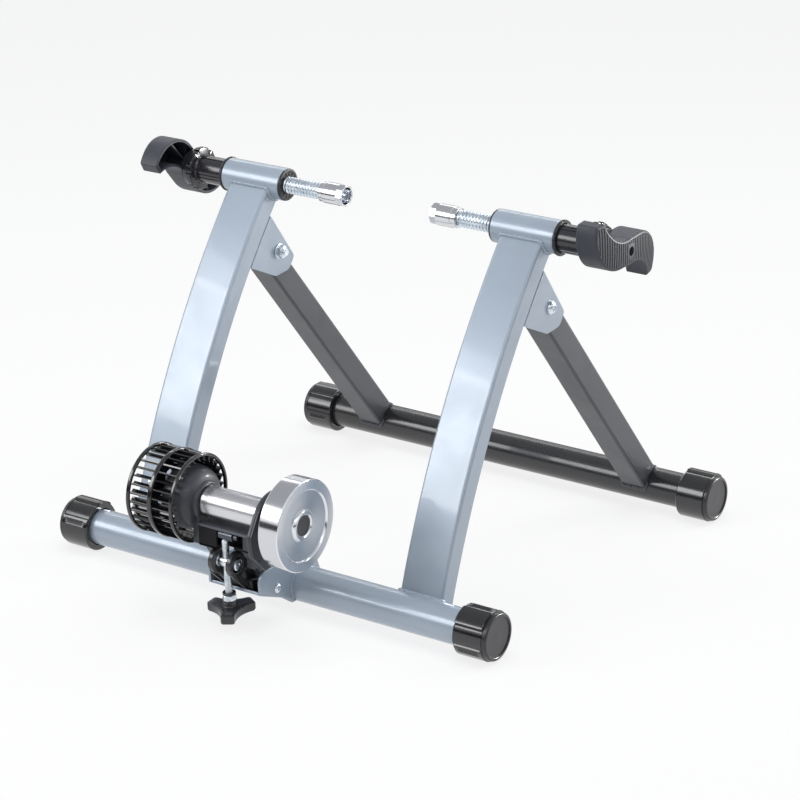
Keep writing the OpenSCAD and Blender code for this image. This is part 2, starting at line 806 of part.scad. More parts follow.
// Turning group: shaft, roller, flywheel and fan
fan_left = fan_right - 2 * fan_pitch;
shaft_left = fan_left - 8;
module roller_shaft() {
    color(zinc) place() rod_x(shaft_r, shaft_left, flywheel_face - 5, roller_axis);
}
module roller() {
    color(chrome) place() ring_x(roller_r, shaft_r, roller_left, roller_right, roller_axis);
}
module flywheel() {
    back = -flywheel_t;
    color(chrome) place() translate([flywheel_face, -roller_front, roller_up]) rotate([0, 90, 0]) {
        rotate_extrude() polygon([[shaft_r, -16], [16, -16], [18, -12], [flywheel_r - 10, -12],
                                  [flywheel_r - 9, back + 1], [flywheel_r - 8, back], [flywheel_r - 1, back],
                                  [flywheel_r, back + 1], [flywheel_r, -1], [flywheel_r - 1, 0],
                                  [flywheel_r - 10, 0], [flywheel_r - 11.5, -2.5], [flywheel_r - 14, -3.2],
                                  [16.5, -5], [15, -1], [12.5, -1], [plug_r + 0.6, -2.2], [plug_r, -2.2],
                                  [plug_r, -5], [shaft_r, -5]]);
    }
}
module flywheel_plug() {
    color(gloss_black) place() translate([flywheel_face, -roller_front, roller_up]) rotate([0, 90, 0])
        rotate_extrude() polygon([[0, -5], [plug_r, -5], [plug_r, -2.6], [plug_r - 0.8, -1.8], [0, -1.8]]);
}
module fan_ring(x) {
    ring_x(fan_r, fan_r - fan_ring_d, x - fan_ring_w / 2, x + fan_ring_w / 2, roller_axis);
}
module fan() {
    web_x = fan_right - fan_pitch;
    hub_r = shaft_r + 5;
    color(gloss_black) place() {
        for (i = [0 : 2])
            fan_ring(fan_right - i * fan_pitch);
        translate([fan_left, -roller_front, roller_up]) rotate([90, 0, 90])
            linear_extrude(height = 2 * fan_pitch) for (i = [0 : fan_blades - 1])
                rotate(i * 360 / fan_blades) translate([fan_r - 1 - blade_d / 2, 0]) rotate(blade_slant)
                    square([blade_d, blade_t], center = true);
        difference() {
            union() {
                rod_x(fan_r - 1, web_x - 1.5, web_x + 1.5, roller_axis);
                rod_x(hub_r, fan_left, web_x + 4, roller_axis);
            }
            rod_x(shaft_r, fan_left - 1, web_x + 5, roller_axis);
            for (a = [0 : 60 : 300])
                rod_x(7, web_x - 2, web_x + 2, roller_axis + 25 * [cos(a), sin(a)]);
        }
    }
}
module fan_nut() {
    color(zinc) place() difference() {
        hex_x(3 * shaft_r, fan_left - 6, fan_left, roller_axis);
        rod_x(shaft_r, fan_left - 7, fan_left + 1, roller_axis);
    }
}

// Adjuster: screw through the cross pin that lifts the cradle
module at_pin() {
    place() translate([0, -pin_front, pin_up]) rotate([rod_lean, 0, 0]) children();
}
block_r = 5;
block_up = (channel_top - 3 - gap - block_r - pin_up) / cos(rod_lean);
thick_top = block_up - block_r - gap;
thin_r = rod_r - 1.2;
module cross_pin() {
    color(zinc) at_pin() difference() {
        union() {
            rod_x(pin_r, ear_in - 0.5, ear_out + 1);
            rod_x(pin_r, -ear_out - 1, -ear_in + 0.5);
            rod_x(pin_r - 0.8, -ear_in, ear_in);
        }
        translate([0, 0, -20]) cylinder(h = 40, r = rod_r + run);
    }
}
// Swivel barrel that the rod pushes up under the roof of the cradle's channel
module thrust_block() {
    color(zinc) at_pin() difference() {
        union() {
            rod_x(block_r, -5, 12, [0, block_up]);
            rod_x(block_r - 2, -5, 17, [0, block_up]);
        }
        translate([0, 0, block_up - 2 * block_r]) cylinder(h = 2 * block_r + 2, r = thin_r + run);
    }
}
module adjuster_rod() {
    color(zinc) at_pin() {
        translate([0, 0, -knob_below - neck_t - star_t + 3])
            cylinder(h = knob_below + neck_t + star_t - 3 + thick_top, r = rod_r);
        cylinder(h = block_up + 2 - gap, r = thin_r);
    }
}
nut_h = 6;
neck_t = 6;
module adjuster_nut() {
    color(zinc) at_pin() translate([0, 0, -knob_below]) difference() {
        cylinder(h = nut_h, r = 13 / sqrt(3), $fn = 6);
        translate([0, 0, -1]) cylinder(h = nut_h + 2, r = rod_r);
    }
}
// Outline of the three-lobed knob: flat lobe ends joined by hollow sides
lobe_half = 7;
waist = 12;
function star_side(a) =
    let (r = norm([star_reach - 1.5, lobe_half]), half = 60 - atan(lobe_half / (star_reach - 1.5)),
         far = (r * r - waist * waist) / (2 * (r * cos(half) - waist)),
         spread = atan2(r * sin(half), far - r * cos(half)))
    arc(far * [cos(a + 60), sin(a + 60)], far - waist, a + 240 - spread, a + 240 + spread, 10);
function star_lobe(a) =
    [for (p = [[star_reach, -lobe_half + 1.5], [star_reach, lobe_half - 1.5]])
        [p[0] * cos(a) - p[1] * sin(a), p[0] * sin(a) + p[1] * cos(a)]];
function reversed(points) = [for (i = [len(points) - 1 : -1 : 0]) points[i]];
module adjuster_knob() {
    color(gloss_black) at_pin() translate([0, 0, -knob_below - neck_t]) difference() {
        union() {
            translate([0, 0, -star_t]) linear_extrude(height = star_t)
                polygon([for (a = [-60, 60, 180]) for (p = concat(star_lobe(a), reversed(star_side(a)))) p]);
            cylinder(h = neck_t, r = 7.5);
        }
        translate([0, 0, 3 - star_t]) cylinder(h = star_t + neck_t, r = rod_r);
    }
}

front_base_tube();
left_upright();
right_upright();
left_sleeve();
right_sleeve();
gusset_plates();
unit_bracket();
left_inner_bush();
right_inner_bush();
left_outer_bush();
right_outer_bush();
fold_bolts();
fold_nuts();
fold_washers();
fold_spacers();
ear_bracket();
unit_bolt();
unit_nut();
rear_base_tube();
left_leg();
right_leg();
front_left_cap();
front_right_cap();
rear_left_cap();
rear_right_cap();
left_axle_cup();
right_axle_cup();
left_clamp_screw();
right_clamp_screw();
left_handle_tube();
right_handle_tube();
left_knob();
right_knob();
left_knob_screw();
right_knob_screw();
cradle();
cradle_bearings();
roller_shaft();
roller();
flywheel();
flywheel_plug();
fan();
fan_nut();
cross_pin();
thrust_block();
adjuster_rod();
adjuster_nut();
adjuster_knob();
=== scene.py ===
import math
import bpy
import numpy as np
from mathutils import Matrix, Vector
from mathutils.geometry import delaunay_2d_cdt, tessellate_polygon


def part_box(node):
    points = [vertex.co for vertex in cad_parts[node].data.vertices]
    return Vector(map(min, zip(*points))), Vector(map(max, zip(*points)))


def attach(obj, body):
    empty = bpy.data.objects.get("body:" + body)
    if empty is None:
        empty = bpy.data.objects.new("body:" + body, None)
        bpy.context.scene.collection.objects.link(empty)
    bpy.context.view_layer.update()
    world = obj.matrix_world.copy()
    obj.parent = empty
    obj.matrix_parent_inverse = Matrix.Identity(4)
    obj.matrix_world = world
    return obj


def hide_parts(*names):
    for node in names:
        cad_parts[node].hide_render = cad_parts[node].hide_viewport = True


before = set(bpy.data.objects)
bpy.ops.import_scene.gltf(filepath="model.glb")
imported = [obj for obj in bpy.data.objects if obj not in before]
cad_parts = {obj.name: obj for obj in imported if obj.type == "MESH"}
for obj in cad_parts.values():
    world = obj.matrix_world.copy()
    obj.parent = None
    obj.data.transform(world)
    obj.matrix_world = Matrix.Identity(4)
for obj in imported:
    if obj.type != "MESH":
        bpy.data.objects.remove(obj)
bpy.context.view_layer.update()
pi = math.pi
scene = bpy.context.scene

# Every shape below is given in millimetres, with the middle of the front base tube's axis as origin.
SHIFT_Y, SHIFT_Z = 171.5, 26


def place(points):
    a = np.asarray(points, float).reshape(-1, 3)
    return (a + np.array([0, -SHIFT_Y, SHIFT_Z])) / 1000


def show(name, data):
    obj = bpy.data.objects.new(name, data)
    scene.collection.objects.link(obj)
    return obj


# ---------------------------------------------------------------- camera, solved from the photograph
AZ, EL = math.radians(34.484), math.radians(19.981)
FOCAL, WIDTH, SENSOR = 3023.84, 800, 36
look = Vector((-math.sin(AZ) * math.cos(EL), math.cos(AZ) * math.cos(EL), -math.sin(EL)))
right = Vector((math.cos(AZ), math.sin(AZ), 0))
up = right.cross(look)
spot = place([(1705.8, -2261.9, 1218.9)])[0]
cam = show("camera", bpy.data.cameras.new("camera"))
cam.data.lens = FOCAL / WIDTH * SENSOR
cam.data.sensor_width = SENSOR
cam.data.clip_end = 100
cam.matrix_world = Matrix([(*axes, at) for axes, at in zip(zip(right, up, -look), spot)] + [(0, 0, 0, 1)])
scene.camera = cam
scene.view_settings.view_transform = "Standard"


# ---------------------------------------------------------------- materials
class Nodes:
    """The shader tree of a world or a new material, with short ways to add nodes and feed their inputs."""

    def __init__(self, owner, empty=False):
        if isinstance(owner, str):
            owner = bpy.data.materials.new(owner)
        owner.use_nodes = True
        self.owner, self.tree = owner, owner.node_tree
        if empty:
            self.tree.nodes.clear()
        else:
            self.coord = self.add("TexCoord").outputs["Object"]

    def add(self, kind, **inputs):
        n = self.tree.nodes.new("ShaderNode" + kind)
        for k, v in inputs.items():
            self.feed(n, k, v)
        return n

    def feed(self, node, key, value):
        socket = node.inputs[key.replace("_", " ") if isinstance(key, str) else key]
        if isinstance(value, bpy.types.NodeSocket):
            self.tree.links.new(value, socket)
        else:
            socket.default_value = (*value, 1) if socket.type == "RGBA" else value

    def noise(self, scale, detail=3, rough=0.5, vector=None):
        return self.add("TexNoise", Vector=vector or self.coord, Scale=scale, Detail=detail,
                Roughness=rough).outputs["Fac"]

    def ramp(self, fac, *stops):
        n = self.add("ValToRGB", Fac=fac)
        el = n.color_ramp.elements
        while len(el) < len(stops):
            el.new(0.5)
        for e, (pos, col) in zip(el, stops):
            e.position = pos
            e.color = (*col, 1)
        return n.outputs["Color"]

    def spread(self, fac, low, high, a=0, b=1):
        return self.add("MapRange", Value=fac, From_Min=a, From_Max=b, To_Min=low, To_Max=high).outputs["Result"]

    def math(self, op, a, b=0):
        n = self.add("Math")
        n.operation = op
        self.feed(n, 0, a)
        self.feed(n, 1, b)
        return n.outputs[0]

    def mix(self, fac, a, b):
        n = self.add("Mix")
        n.data_type = "RGBA"
        for key, value in ((0, fac), (6, a), (7, b)):
            self.feed(n, key, value)
        return n.outputs[2]

    def blend(self, fac, a, b):
        n = self.add("MixShader")
        for key, value in enumerate((fac, a.outputs[0], b.outputs[0])):
            self.feed(n, key, value)
        return n

    def bump(self, height, distance, strength, **under):
        return self.add("Bump", Height=height, Distance=distance, Strength=strength, **under).outputs["Normal"]

    def shader(self, **values):
        for k, v in values.items():
            self.feed(self.tree.nodes["Principled BSDF"], k, v)
        return self.owner

    def worn(self, base, bare, amount):
        """Lighter along convex edges, as paint and plastic get where they are handled."""
        point = self.add("NewGeometry").outputs["Pointiness"]
        edge = self.spread(point, 0, 1, 0.56, 0.66)
        patch = self.spread(self.noise(90, 4, 0.65), 0, 1, 0.42, 0.62)
        return self.mix(self.math("MULTIPLY", self.math("MULTIPLY", edge, patch), amount), base, bare)

    def seen(self):
        """1 for rays from the camera, from a reflection or through something clear, and 0 for the rest."""
        ray = self.add("LightPath").outputs
        direct = self.math("MAXIMUM", ray["Is Camera Ray"], ray["Is Glossy Ray"])
        return self.math("MAXIMUM", direct, ray["Is Transmission Ray"])

    def end(self, kind, shader):
        self.add(kind, Surface=shader.outputs[0])
        return self.owner


def paint(name, dark, light, rough, metallic, coat, orange=6e-5, wear=0.15, shine=0.5):
    n = Nodes(name)
    cloud = n.ramp(n.noise(6, 4, 0.55), (0.3, dark), (0.7, light))
    flake = n.spread(n.noise(2600, 1, 0.5), 0, 0.16, 0.35, 0.7)
    tone = n.mix(flake, cloud, tuple(min(1, c * 1.25 + 0.02) for c in light))
    return n.shader(
        Base_Color=n.worn(tone, (0.7, 0.72, 0.75), wear), Metallic=metallic, Coat_Weight=coat, Coat_Roughness=0.07,
        Specular_IOR_Level=shine, Roughness=n.spread(n.noise(24, 3, 0.6), rough - 0.05, rough + 0.08, 0.3, 0.7),
        Normal=n.bump(n.noise(420, 2, 0.5), orange, 0.6))


def moulded(name, dark, light, rough, grain, depth, coat=0, wear=0.12):
    n = Nodes(name)
    tone = n.ramp(n.noise(14, 5, 0.6), (0.32, dark), (0.68, light))
    fine = n.add("TexVoronoi", Vector=n.coord, Scale=grain).outputs["Distance"]
    return n.shader(
        Base_Color=n.worn(tone, (0.22, 0.22, 0.23), wear), Coat_Weight=coat, Coat_Roughness=0.08,
        Roughness=n.spread(n.noise(60, 5, 0.7), rough - 0.03, rough + 0.05, 0.35, 0.7),
        Normal=n.bump(fine, depth, 0.35, Normal=n.bump(n.noise(35, 2), 0.0001, 0.12)))


def zinc_plate(name, tint, low, rough):
    n = Nodes(name)
    bright = tuple(min(0.9, c * 1.1) for c in tint)
    return n.shader(
        Base_Color=n.ramp(n.noise(70, 4, 0.6), (0.3, low), (0.55, tint), (0.8, bright)), Metallic=1,
        Roughness=n.spread(n.noise(240, 3), rough - 0.08, rough + 0.14, 0.3, 0.7),
        Normal=n.bump(n.noise(900, 2), 4e-5, 0.5))


def turned(name, centre, tone, low, rough, lines, aniso, along, uneven):
    """Metal cut on a lathe round an axis along X through centre: fine rings, or fine rings along X on a cylinder."""
    n = Nodes(name)
    x, y, z = n.add("SeparateXYZ", Vector=n.coord).outputs
    cy, cz = place([(0, *centre)])[0][1:]
    squares = [n.math("MULTIPLY", d, d) for d in (n.math("SUBTRACT", y, float(cy)), n.math("SUBTRACT", z, float(cz)))]
    radius = n.math("SQRT", n.math("ADD", *squares))
    line = n.add("CombineXYZ", X=x if along else radius, Y=0, Z=0).outputs[0]
    groove = n.noise(lines, 2, 0.6, line)
    tangent = n.add("Tangent")
    tangent.direction_type = "RADIAL"
    tangent.axis = "X"
    return n.shader(
        Base_Color=n.mix(n.spread(groove, 0, 1, 0.3, 0.7), low, tone), Metallic=1, Anisotropic=aniso,
        Anisotropic_Rotation=0 if along else 0.25, Tangent=tangent.outputs[0],
        Roughness=n.spread(n.noise(30, 4, 0.6), rough - 0.04 * uneven, rough + 0.08 * uneven, 0.3, 0.7),
        Normal=n.bump(groove, 1e-5, 0.2))


# Places (y, z) of the axes that run along X: clamps, folding joint, unit's swivel, roller and cross pin.
BASE_Y, CLAMP, FOLD = 437, (204, 343), (205, 267.5)
UNIT, ROLL, PIN = (-42, 9), (-73, 100), (-82, 44)

M = {
    "silver": paint("silver_paint", (0.308, 0.364, 0.434), (0.346, 0.408, 0.484), 0.36, 0.25, 0.7),
    "rear_black": paint("gloss_black_paint", (0.01, 0.01, 0.012), (0.018, 0.018, 0.021), 0.26, 0, 0.5, wear=0),
    "leg": paint("satin_dark_paint", (0.05, 0.052, 0.06), (0.07, 0.073, 0.083), 0.42, 0.3, 0.2, 0.0001),
    "bracket_black": paint("bracket_black_paint", (0.01, 0.01, 0.012), (0.02, 0.02, 0.023), 0.3, 0, 0.5, wear=0.3),
    "cradle_black": paint("cradle_satin_paint", (0.026, 0.029, 0.037), (0.042, 0.046, 0.056), 0.42, 0.1, 0.15,
        0.00012),
    # painted light: the channel roof gets a lighter grey copy of the cradle's satin paint, standing in for the light
    # that falls on it from the front
    "roof_lit_grey": paint("channel_roof_lit_paint", (0.07, 0.075, 0.09), (0.095, 0.1, 0.118), 0.42, 0.1, 0.15, 0.00012),
    # painted shade: the channel's inner panels get a darker, less shiny black than the bracket paint, standing in for
    # the shade under the channel roof
    "panel_shade_black": paint("panel_shade_black_paint", (0.008, 0.008, 0.01), (0.014, 0.014, 0.017), 0.55, 0, 0,
        wear=0.1, shine=0.15),
    "cap": moulded("cap_plastic", (0.014, 0.014, 0.017), (0.026, 0.026, 0.031), 0.32, 700, 5e-5, 0.2),
    "cap_gloss": moulded("cap_gloss_plastic", (0.008, 0.008, 0.01), (0.015, 0.015, 0.018), 0.16, 500, 2e-5, 0.6),
    "knob": moulded("knob_plastic", (0.024, 0.028, 0.038), (0.04, 0.045, 0.058), 0.46, 1100, 8e-5, wear=0.05),
    "handle": moulded("handle_plastic", (0.016, 0.016, 0.02), (0.022, 0.022, 0.027), 0.2, 600, 1e-5, 0.3, 0),
    "bush": moulded("bush_plastic", (0.016, 0.016, 0.02), (0.026, 0.026, 0.032), 0.34, 800, 3e-5, wear=0),
    "fan": moulded("fan_plastic", (0.006, 0.006, 0.008), (0.013, 0.013, 0.016), 0.15, 400, 1e-5, 0.6, 0),
    "star": moulded("star_knob_plastic", (0.02, 0.02, 0.025), (0.034, 0.034, 0.041), 0.3, 700, 5e-5, 0.15),
    "plug": moulded("plug_plastic", (0.05, 0.052, 0.056), (0.07, 0.073, 0.078), 0.45, 900, 8e-5),
    "zinc": zinc_plate("bright_zinc", (0.74, 0.79, 0.84), (0.52, 0.58, 0.64), 0.24),
    "screw_black": zinc_plate("black_screw", (0.1, 0.11, 0.13), (0.05, 0.055, 0.065), 0.32),
    "zinc_thread": zinc_plate("zinc_thread", (0.76, 0.83, 0.9), (0.58, 0.66, 0.74), 0.26),
    "cup": turned("cup_chrome", CLAMP, (0.74, 0.75, 0.77), (0.66, 0.67, 0.7), 0.16, 3000, 0.3, True, 0.2),
    "roller": turned("roller_steel", ROLL, (0.74, 0.74, 0.76), (0.6, 0.6, 0.63), 0.24, 4200, 0.45, True, 0.15),
    "flywheel": turned("flywheel_steel", ROLL, (0.82, 0.84, 0.87), (0.7, 0.72, 0.76), 0.24, 4200, 0.8, False, 0.2),
    "flywheel_rim": turned("flywheel_rim_steel", ROLL, (0.7, 0.71, 0.74), (0.6, 0.61, 0.65), 0.13, 3000, 0.3,
        True, 0.2),
}
FRONT, REAR, CRADLE, ROLLERS, ADJUSTER = "front_frame", "rear_frame", "roller_cradle", "roller_group", "adjuster"


# ---------------------------------------------------------------- pieces
def bake(obj):
    """Puts the result of the modifiers in place of the mesh."""
    bpy.context.view_layer.update()
    flat = bpy.data.meshes.new_from_object(obj.evaluated_get(bpy.context.evaluated_depsgraph_get()))
    obj.modifiers.clear()
    obj.data = flat
    return flat


def build(name, part, body, material, node="", sharp=35, bevel=0, segments=2, slot=""):
    """Makes one piece of (points in mm, faces). Edges over sharp degrees stay sharp, bevel is in mm."""
    mesh = bpy.data.meshes.new(name)
    mesh.from_pydata([tuple(p) for p in place(part[0])], [], part[1])
    mesh.validate()
    obj = show(name, mesh)
    mesh.materials.append(M[material])
    mesh.shade_smooth()
    if bevel:
        b = obj.modifiers.new("bevel", "BEVEL")
        b.width = bevel / 1000
        b.segments = segments
        b.limit_method = "ANGLE"
        b.angle_limit = math.radians(32)
        b.use_clamp_overlap = True
        bake(obj).shade_smooth()
    obj.data.set_sharp_from_angle(angle=math.radians(sharp))
    w = obj.modifiers.new("normals", "WEIGHTED_NORMAL")
    w.keep_sharp = True
    w.weight = 80
    bake(obj)
    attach(obj, body)
    if node:
        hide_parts(node)
    return obj


def turned_over(faces):
    return [tuple(reversed(f)) for f in faces]


def mirrored(part):
    return [(-x, y, z) for x, y, z in part[0]], turned_over(part[1])


SIDES = (("right", lambda part: part), ("left", mirrored))


def pair(name, part, body, material, node="", *rest):
    """Builds a piece on the right and its mirror image on the left. A {} in the node's name stands for the side."""
    for side, flip in SIDES:
        build(side + "_" + name, flip(part), body, material, node.format(side), *rest)


# ---------------------------------------------------------------- outlines in the YZ plane
def polar(r, a, centre=(0, 0)):
    return centre[0] + r * math.cos(a), centre[1] + r * math.sin(a)


def unit(v):
    return v / np.linalg.norm(v)


def square(v):
    """v turned by a quarter."""
    return np.array([-v[1], v[0]])


def circle(r, n, centre=(0, 0)):
    return [polar(r, 2 * pi * k / n, centre) for k in range(n)]


def arc(cx, cy, r, a0, a1, n=10):
    return [polar(r, math.radians(a0 + (a1 - a0) * k / n), (cx, cy)) for k in range(n + 1)]


def corner(a, b, c, r, n=5):
    """Points round the corner b between a and c, with radius r or the largest that fits."""
    a, b, c = (np.array(p, float) for p in (a, b, c))
    la, lc = np.linalg.norm(a - b), np.linalg.norm(c - b)
    if r <= 0 or la < 1e-6 or lc < 1e-6:
        return [tuple(b)]
    u, w = (a - b) / la, (c - b) / lc
    half = math.acos(max(-1, min(1, float(u @ w)))) / 2
    if half > pi / 2 - 0.02 or half < 0.02:
        return [tuple(b)]
    r = min(r, 0.49 * min(la, lc) * math.tan(half))
    mid = b + (u + w) / np.linalg.norm(u + w) * r / math.sin(half)
    p, q = b + u * r / math.tan(half) - mid, b + w * r / math.tan(half) - mid
    start = math.atan2(p[1], p[0])
    turn = math.atan2(p[0] * q[1] - p[1] * q[0], p @ q)
    return [polar(r, start + turn * k / n, mid) for k in range(n + 1)]


def rounded(points, n=5):
    """Closed outline through (u, v, corner radius)."""
    out = []
    for a, b, c in zip(points[-1:] + points[:-1], points, points[1:] + points[:1]):
        out += corner(a[:2], b[:2], c[:2], b[2], n)
    return out


def rect(w, d, r, n=6):
    return rounded([(-w / 2, -d / 2, r), (w / 2, -d / 2, r), (w / 2, d / 2, r), (-w / 2, d / 2, r)], n)


def split(ring, shares):
    """Puts more points on the long sides of a ring."""
    return [tuple(np.array(p) * (1 - t) + np.array(q) * t) for p, q in zip(ring, ring[1:] + ring[:1])
            for t in (shares if math.dist(p, q) > 15 else (0,))]


# ---------------------------------------------------------------- parts, each a list of points and a list of faces
def merge(*parts):
    verts, faces = [], []
    for v, f in parts:
        base = len(verts)
        verts.extend([tuple(p) for p in v])
        faces.extend([tuple(i + base for i in q) for q in f])
    return verts, faces


def moved(part, matrix):
    return [tuple(matrix @ Vector(p)) for p in part[0]], part[1]


def spokes(part, centre, count, start=0):
    """Copies of a part, set round an axis along X through centre."""
    at = Matrix.Translation((0, *centre))
    turns = [math.radians(start + 360 * k / count) for k in range(count)]
    return merge(*[moved(part, at @ Matrix.Rotation(a, 4, "X")) for a in turns])


def grid_faces(rows, cols, closed=False):
    """Quads between rings of points, and from the last ring to the first if closed."""
    f = []
    for i in range(rows if closed else rows - 1):
        for j in range(cols):
            a, b = i * cols + j, i * cols + (j + 1) % cols
            c, d = ((i + 1) % rows) * cols + (j + 1) % cols, ((i + 1) % rows) * cols + j
            f.append((a, b, c, d))
    return f


def end_faces(rows, cols):
    return [tuple(reversed(range(cols))), tuple(range((rows - 1) * cols, rows * cols))]


def bar_faces(rows, cols):
    return grid_faces(rows, cols) + end_faces(rows, cols)


def revolve(profile, centre=(0, 0), n=72, closed=False, wobble=None):
    """profile is a list of (x, r) along an axis parallel to X. It is capped at its ends, closed, or open if None."""
    verts = []
    for x, r in profile:
        for k in range(n):
            a = 2 * pi * k / n
            verts.append((x, *polar(r + (wobble(x, a, r) if wobble else 0), a, centre)))
    faces = grid_faces(len(profile), n, closed)
    if closed is False:
        ends = zip(end_faces(len(profile), n), (profile[0], profile[-1]))
        faces += [face for face, (x, r) in ends if r > 1e-6]
    return verts, faces


def both_ends(x0, x1, end):
    """Profile with the same end, a list of (distance in, r), at x0 and at x1."""
    return [(x0 + d, r) for d, r in end] + [(x1 - d, r) for d, r in reversed(end)]


def prism(outline, x0, x1):
    """Outline in the YZ plane, drawn out along X."""
    n = len(outline)
    verts = [(x, y, z) for x in (x0, x1) for y, z in outline]
    area = sum(outline[i - 1][0] * outline[i][1] - outline[i][0] * outline[i - 1][1] for i in range(n))
    ring = list(range(n)) if area > 0 else list(reversed(range(n)))
    faces = [tuple(reversed(ring)), tuple(i + n for i in ring)]
    return verts, faces + [(i, j, j + n, i + n) for i, j in zip(ring, ring[1:] + ring[:1])]


def block(x0, x1, y0, y1, z0, z1):
    return prism([(y0, z0), (y1, z0), (y1, z1), (y0, z1)], x0, x1)


def sweep(section, frames, closed=False):
    """section is a closed 2-D outline; frames are (origin, u, v) along the path."""
    verts = [tuple(Vector(o) + Vector(u) * a + Vector(v) * b) for o, u, v in frames for a, b in section]
    size = len(frames), len(section)
    return verts, grid_faces(*size, closed) + ([] if closed else end_faces(*size))


def weld(points, r, seed, step, closed=False):
    """A weld bead along a path: overlapping ripples about step long."""
    ripple, sides = 6, 10
    pts = [Vector(p) for p in points]
    if closed:
        pts.append(pts[0])
    lengths = [0]
    for a, b in zip(pts, pts[1:]):
        lengths.append(lengths[-1] + (b - a).length)
    count = max(8, int(lengths[-1] / step * ripple))
    size = np.random.default_rng(seed).uniform(-0.12, 0.12, count // ripple + 3)
    path, k = [], 0
    for i in range(count + (0 if closed else 1)):
        s = lengths[-1] * i / count
        while k < len(lengths) - 2 and lengths[k + 1] < s:
            k += 1
        path.append(pts[k].lerp(pts[k + 1], (s - lengths[k]) / max(1e-9, lengths[k + 1] - lengths[k])))
    frames, u, m = [], None, len(path)
    for i, p in enumerate(path):
        before = path[i - 1] if i or closed else p
        after = path[(i + 1) % m] if i < m - 1 or closed else p
        t = (after - before).normalized()
        u = ((u - t * u.dot(t)) if u else t.orthogonal()).normalized()
        rr = r * (1 + 0.22 * abs(math.sin(pi * i / ripple)) - 0.12 + size[i // ripple])
        frames.append((p, u * rr, t.cross(u) * rr))
    return sweep(circle(1, sides), frames, closed)


def hexagon(width, x0, x1, centre, turn, chamfer, bore, both=False):
    """Nut along X with a bore and turned chamfers on its outer face, or on both."""
    r0 = width / 2
    cut, lip = (math.copysign(d, x1 - x0) for d in (chamfer, 0.6))
    flats = lambda x, a, r: min(0, r0 / math.cos((a - turn) % (pi / 3) - pi / 6) - r)
    rows = [(x0, bore)] + ([(x0, r0), (x0 + cut / 2, r0 * 1.08), (x0 + cut, width)] if both else [(x0, width)])
    rows += [(x1 - cut, width), (x1 - cut / 2, r0 * 1.08), (x1, r0), (x1, bore + 0.6), (x1 - lip, bore)]
    verts, faces = revolve(rows, centre, 72, True, flats)
    return verts, faces if x1 > x0 else turned_over(faces)


def nyloc(x, c, w=13, h=6.5):
    """Nut with a plastic ring, standing out from x to the left."""
    crown = [(h * 0.74, w / 2 - 0.7), (h * 0.92, w / 2 - 0.9), (h, w / 2 - 1.7), (h, 4.3), (h * 0.9, 4.1)]
    return merge(hexagon(w, x, x - h * 0.78, c, 0.3, 0.8, 4), revolve([(x - d, r) for d, r in crown], c, 64))


def thread(x0, x1, r, pitch, depth, centre=(0, 0), n=40, per=8):
    """A screw thread along X: the root follows a helix, with a short run-out at both ends."""
    count = int(abs(x1 - x0) / pitch * per) + 1
    profile = [(x0 + (x1 - x0) * i / count, r) for i in range(count + 1)]

    def cut(x, a, rr):
        phase = (x / pitch + a / (2 * pi)) % 1
        ridge = min(1, max(0, abs(phase * 2 - 1) * 1.35 - 0.15))
        return -depth * (1 - ridge * min(1, abs(x - x0) / pitch, abs(x1 - x) / pitch))
    return revolve(profile, centre, n, wobble=cut)


def holed(outline, holes, x0, x1):
    """Plate along X with holes."""
    loops = [outline] + holes
    flat = [p for loop in loops for p in loop]
    n = len(flat)
    verts = [(x, y, z) for x in (x0, x1) for y, z in flat]
    faces = []
    for a, b, c in tessellate_polygon([[Vector((y, z, 0)) for y, z in loop] for loop in loops]):
        (ya, za), (yb, zb), (yc, zc) = flat[a], flat[b], flat[c]
        if (yb - ya) * (zc - za) - (zb - za) * (yc - ya) < 0:
            b, c = c, b
        faces += [(n + a, n + b, n + c), (c, b, a)]
    start = 0
    for loop in loops:
        m = len(loop)
        faces += [(start + i, start + (i + 1) % m, n + start + (i + 1) % m, n + start + i) for i in range(m)]
        start += m
    return verts, faces


# ---------------------------------------------------------------- frame
HALF, CAP_LEN, CAP_R, TUBE_R = 268.5, 38, 26, 19
BOW_R, BAR_X, BAR_W, BAR_D, LEG_X = 989, 170, 50, 24, 175.2
SLEEVE_IN, SLEEVE_OUT = 132.7, 206.7


def tube_profile(x0, x1, r, bore, ease=0.6):
    return both_ends(x0, x1, [(0, bore), (0, r - ease), (ease * 0.4, r - ease * 0.3), (ease, r)])


tube_end = HALF - 4.8
for name, y, material, body in (("front", 0, "silver", FRONT), ("rear", BASE_Y, "rear_black", REAR)):
    tube = revolve(tube_profile(-tube_end, tube_end, TUBE_R, TUBE_R - 1.5), (y, 0), 128, True)
    build(name + "_tube", tube, body, material, name + "_base_tube")

# the upright's bow: a circle of radius BOW_R through the clamp axis and a point on the front tube
foot = np.array([17.6, 0])
chord = np.array(CLAMP) - foot
bow_c = (np.array(CLAMP) + foot) / 2 - square(unit(chord)) * math.sqrt(BOW_R ** 2 - chord @ chord / 4)
bow_top = math.atan2(CLAMP[1] - bow_c[1], CLAMP[0] - bow_c[0])
bow_low = math.atan2(foot[1] - bow_c[1], foot[0] - bow_c[0])
bow_length = BOW_R * (bow_low % (2 * pi) - bow_top % (2 * pi))


def bow_frame(s):
    """Directions outward from the upright and down along it, at distance s from the clamp axis."""
    out = np.array(polar(1, bow_top + s / BOW_R))
    return out, square(out)


def bow(s, v=0):
    """Point at distance s down the upright from the clamp axis, v outward from its middle line."""
    return bow_c + (BOW_R + v) * bow_frame(s)[0]


def meet_tube(section, x, centre, run, across, r):
    """Points where a bar of this section, leaving centre along run, comes out of a tube of radius r."""
    return [(x + a, *(np.array(centre) + across * b + run * math.sqrt(r * r - b * b))) for a, b in section]


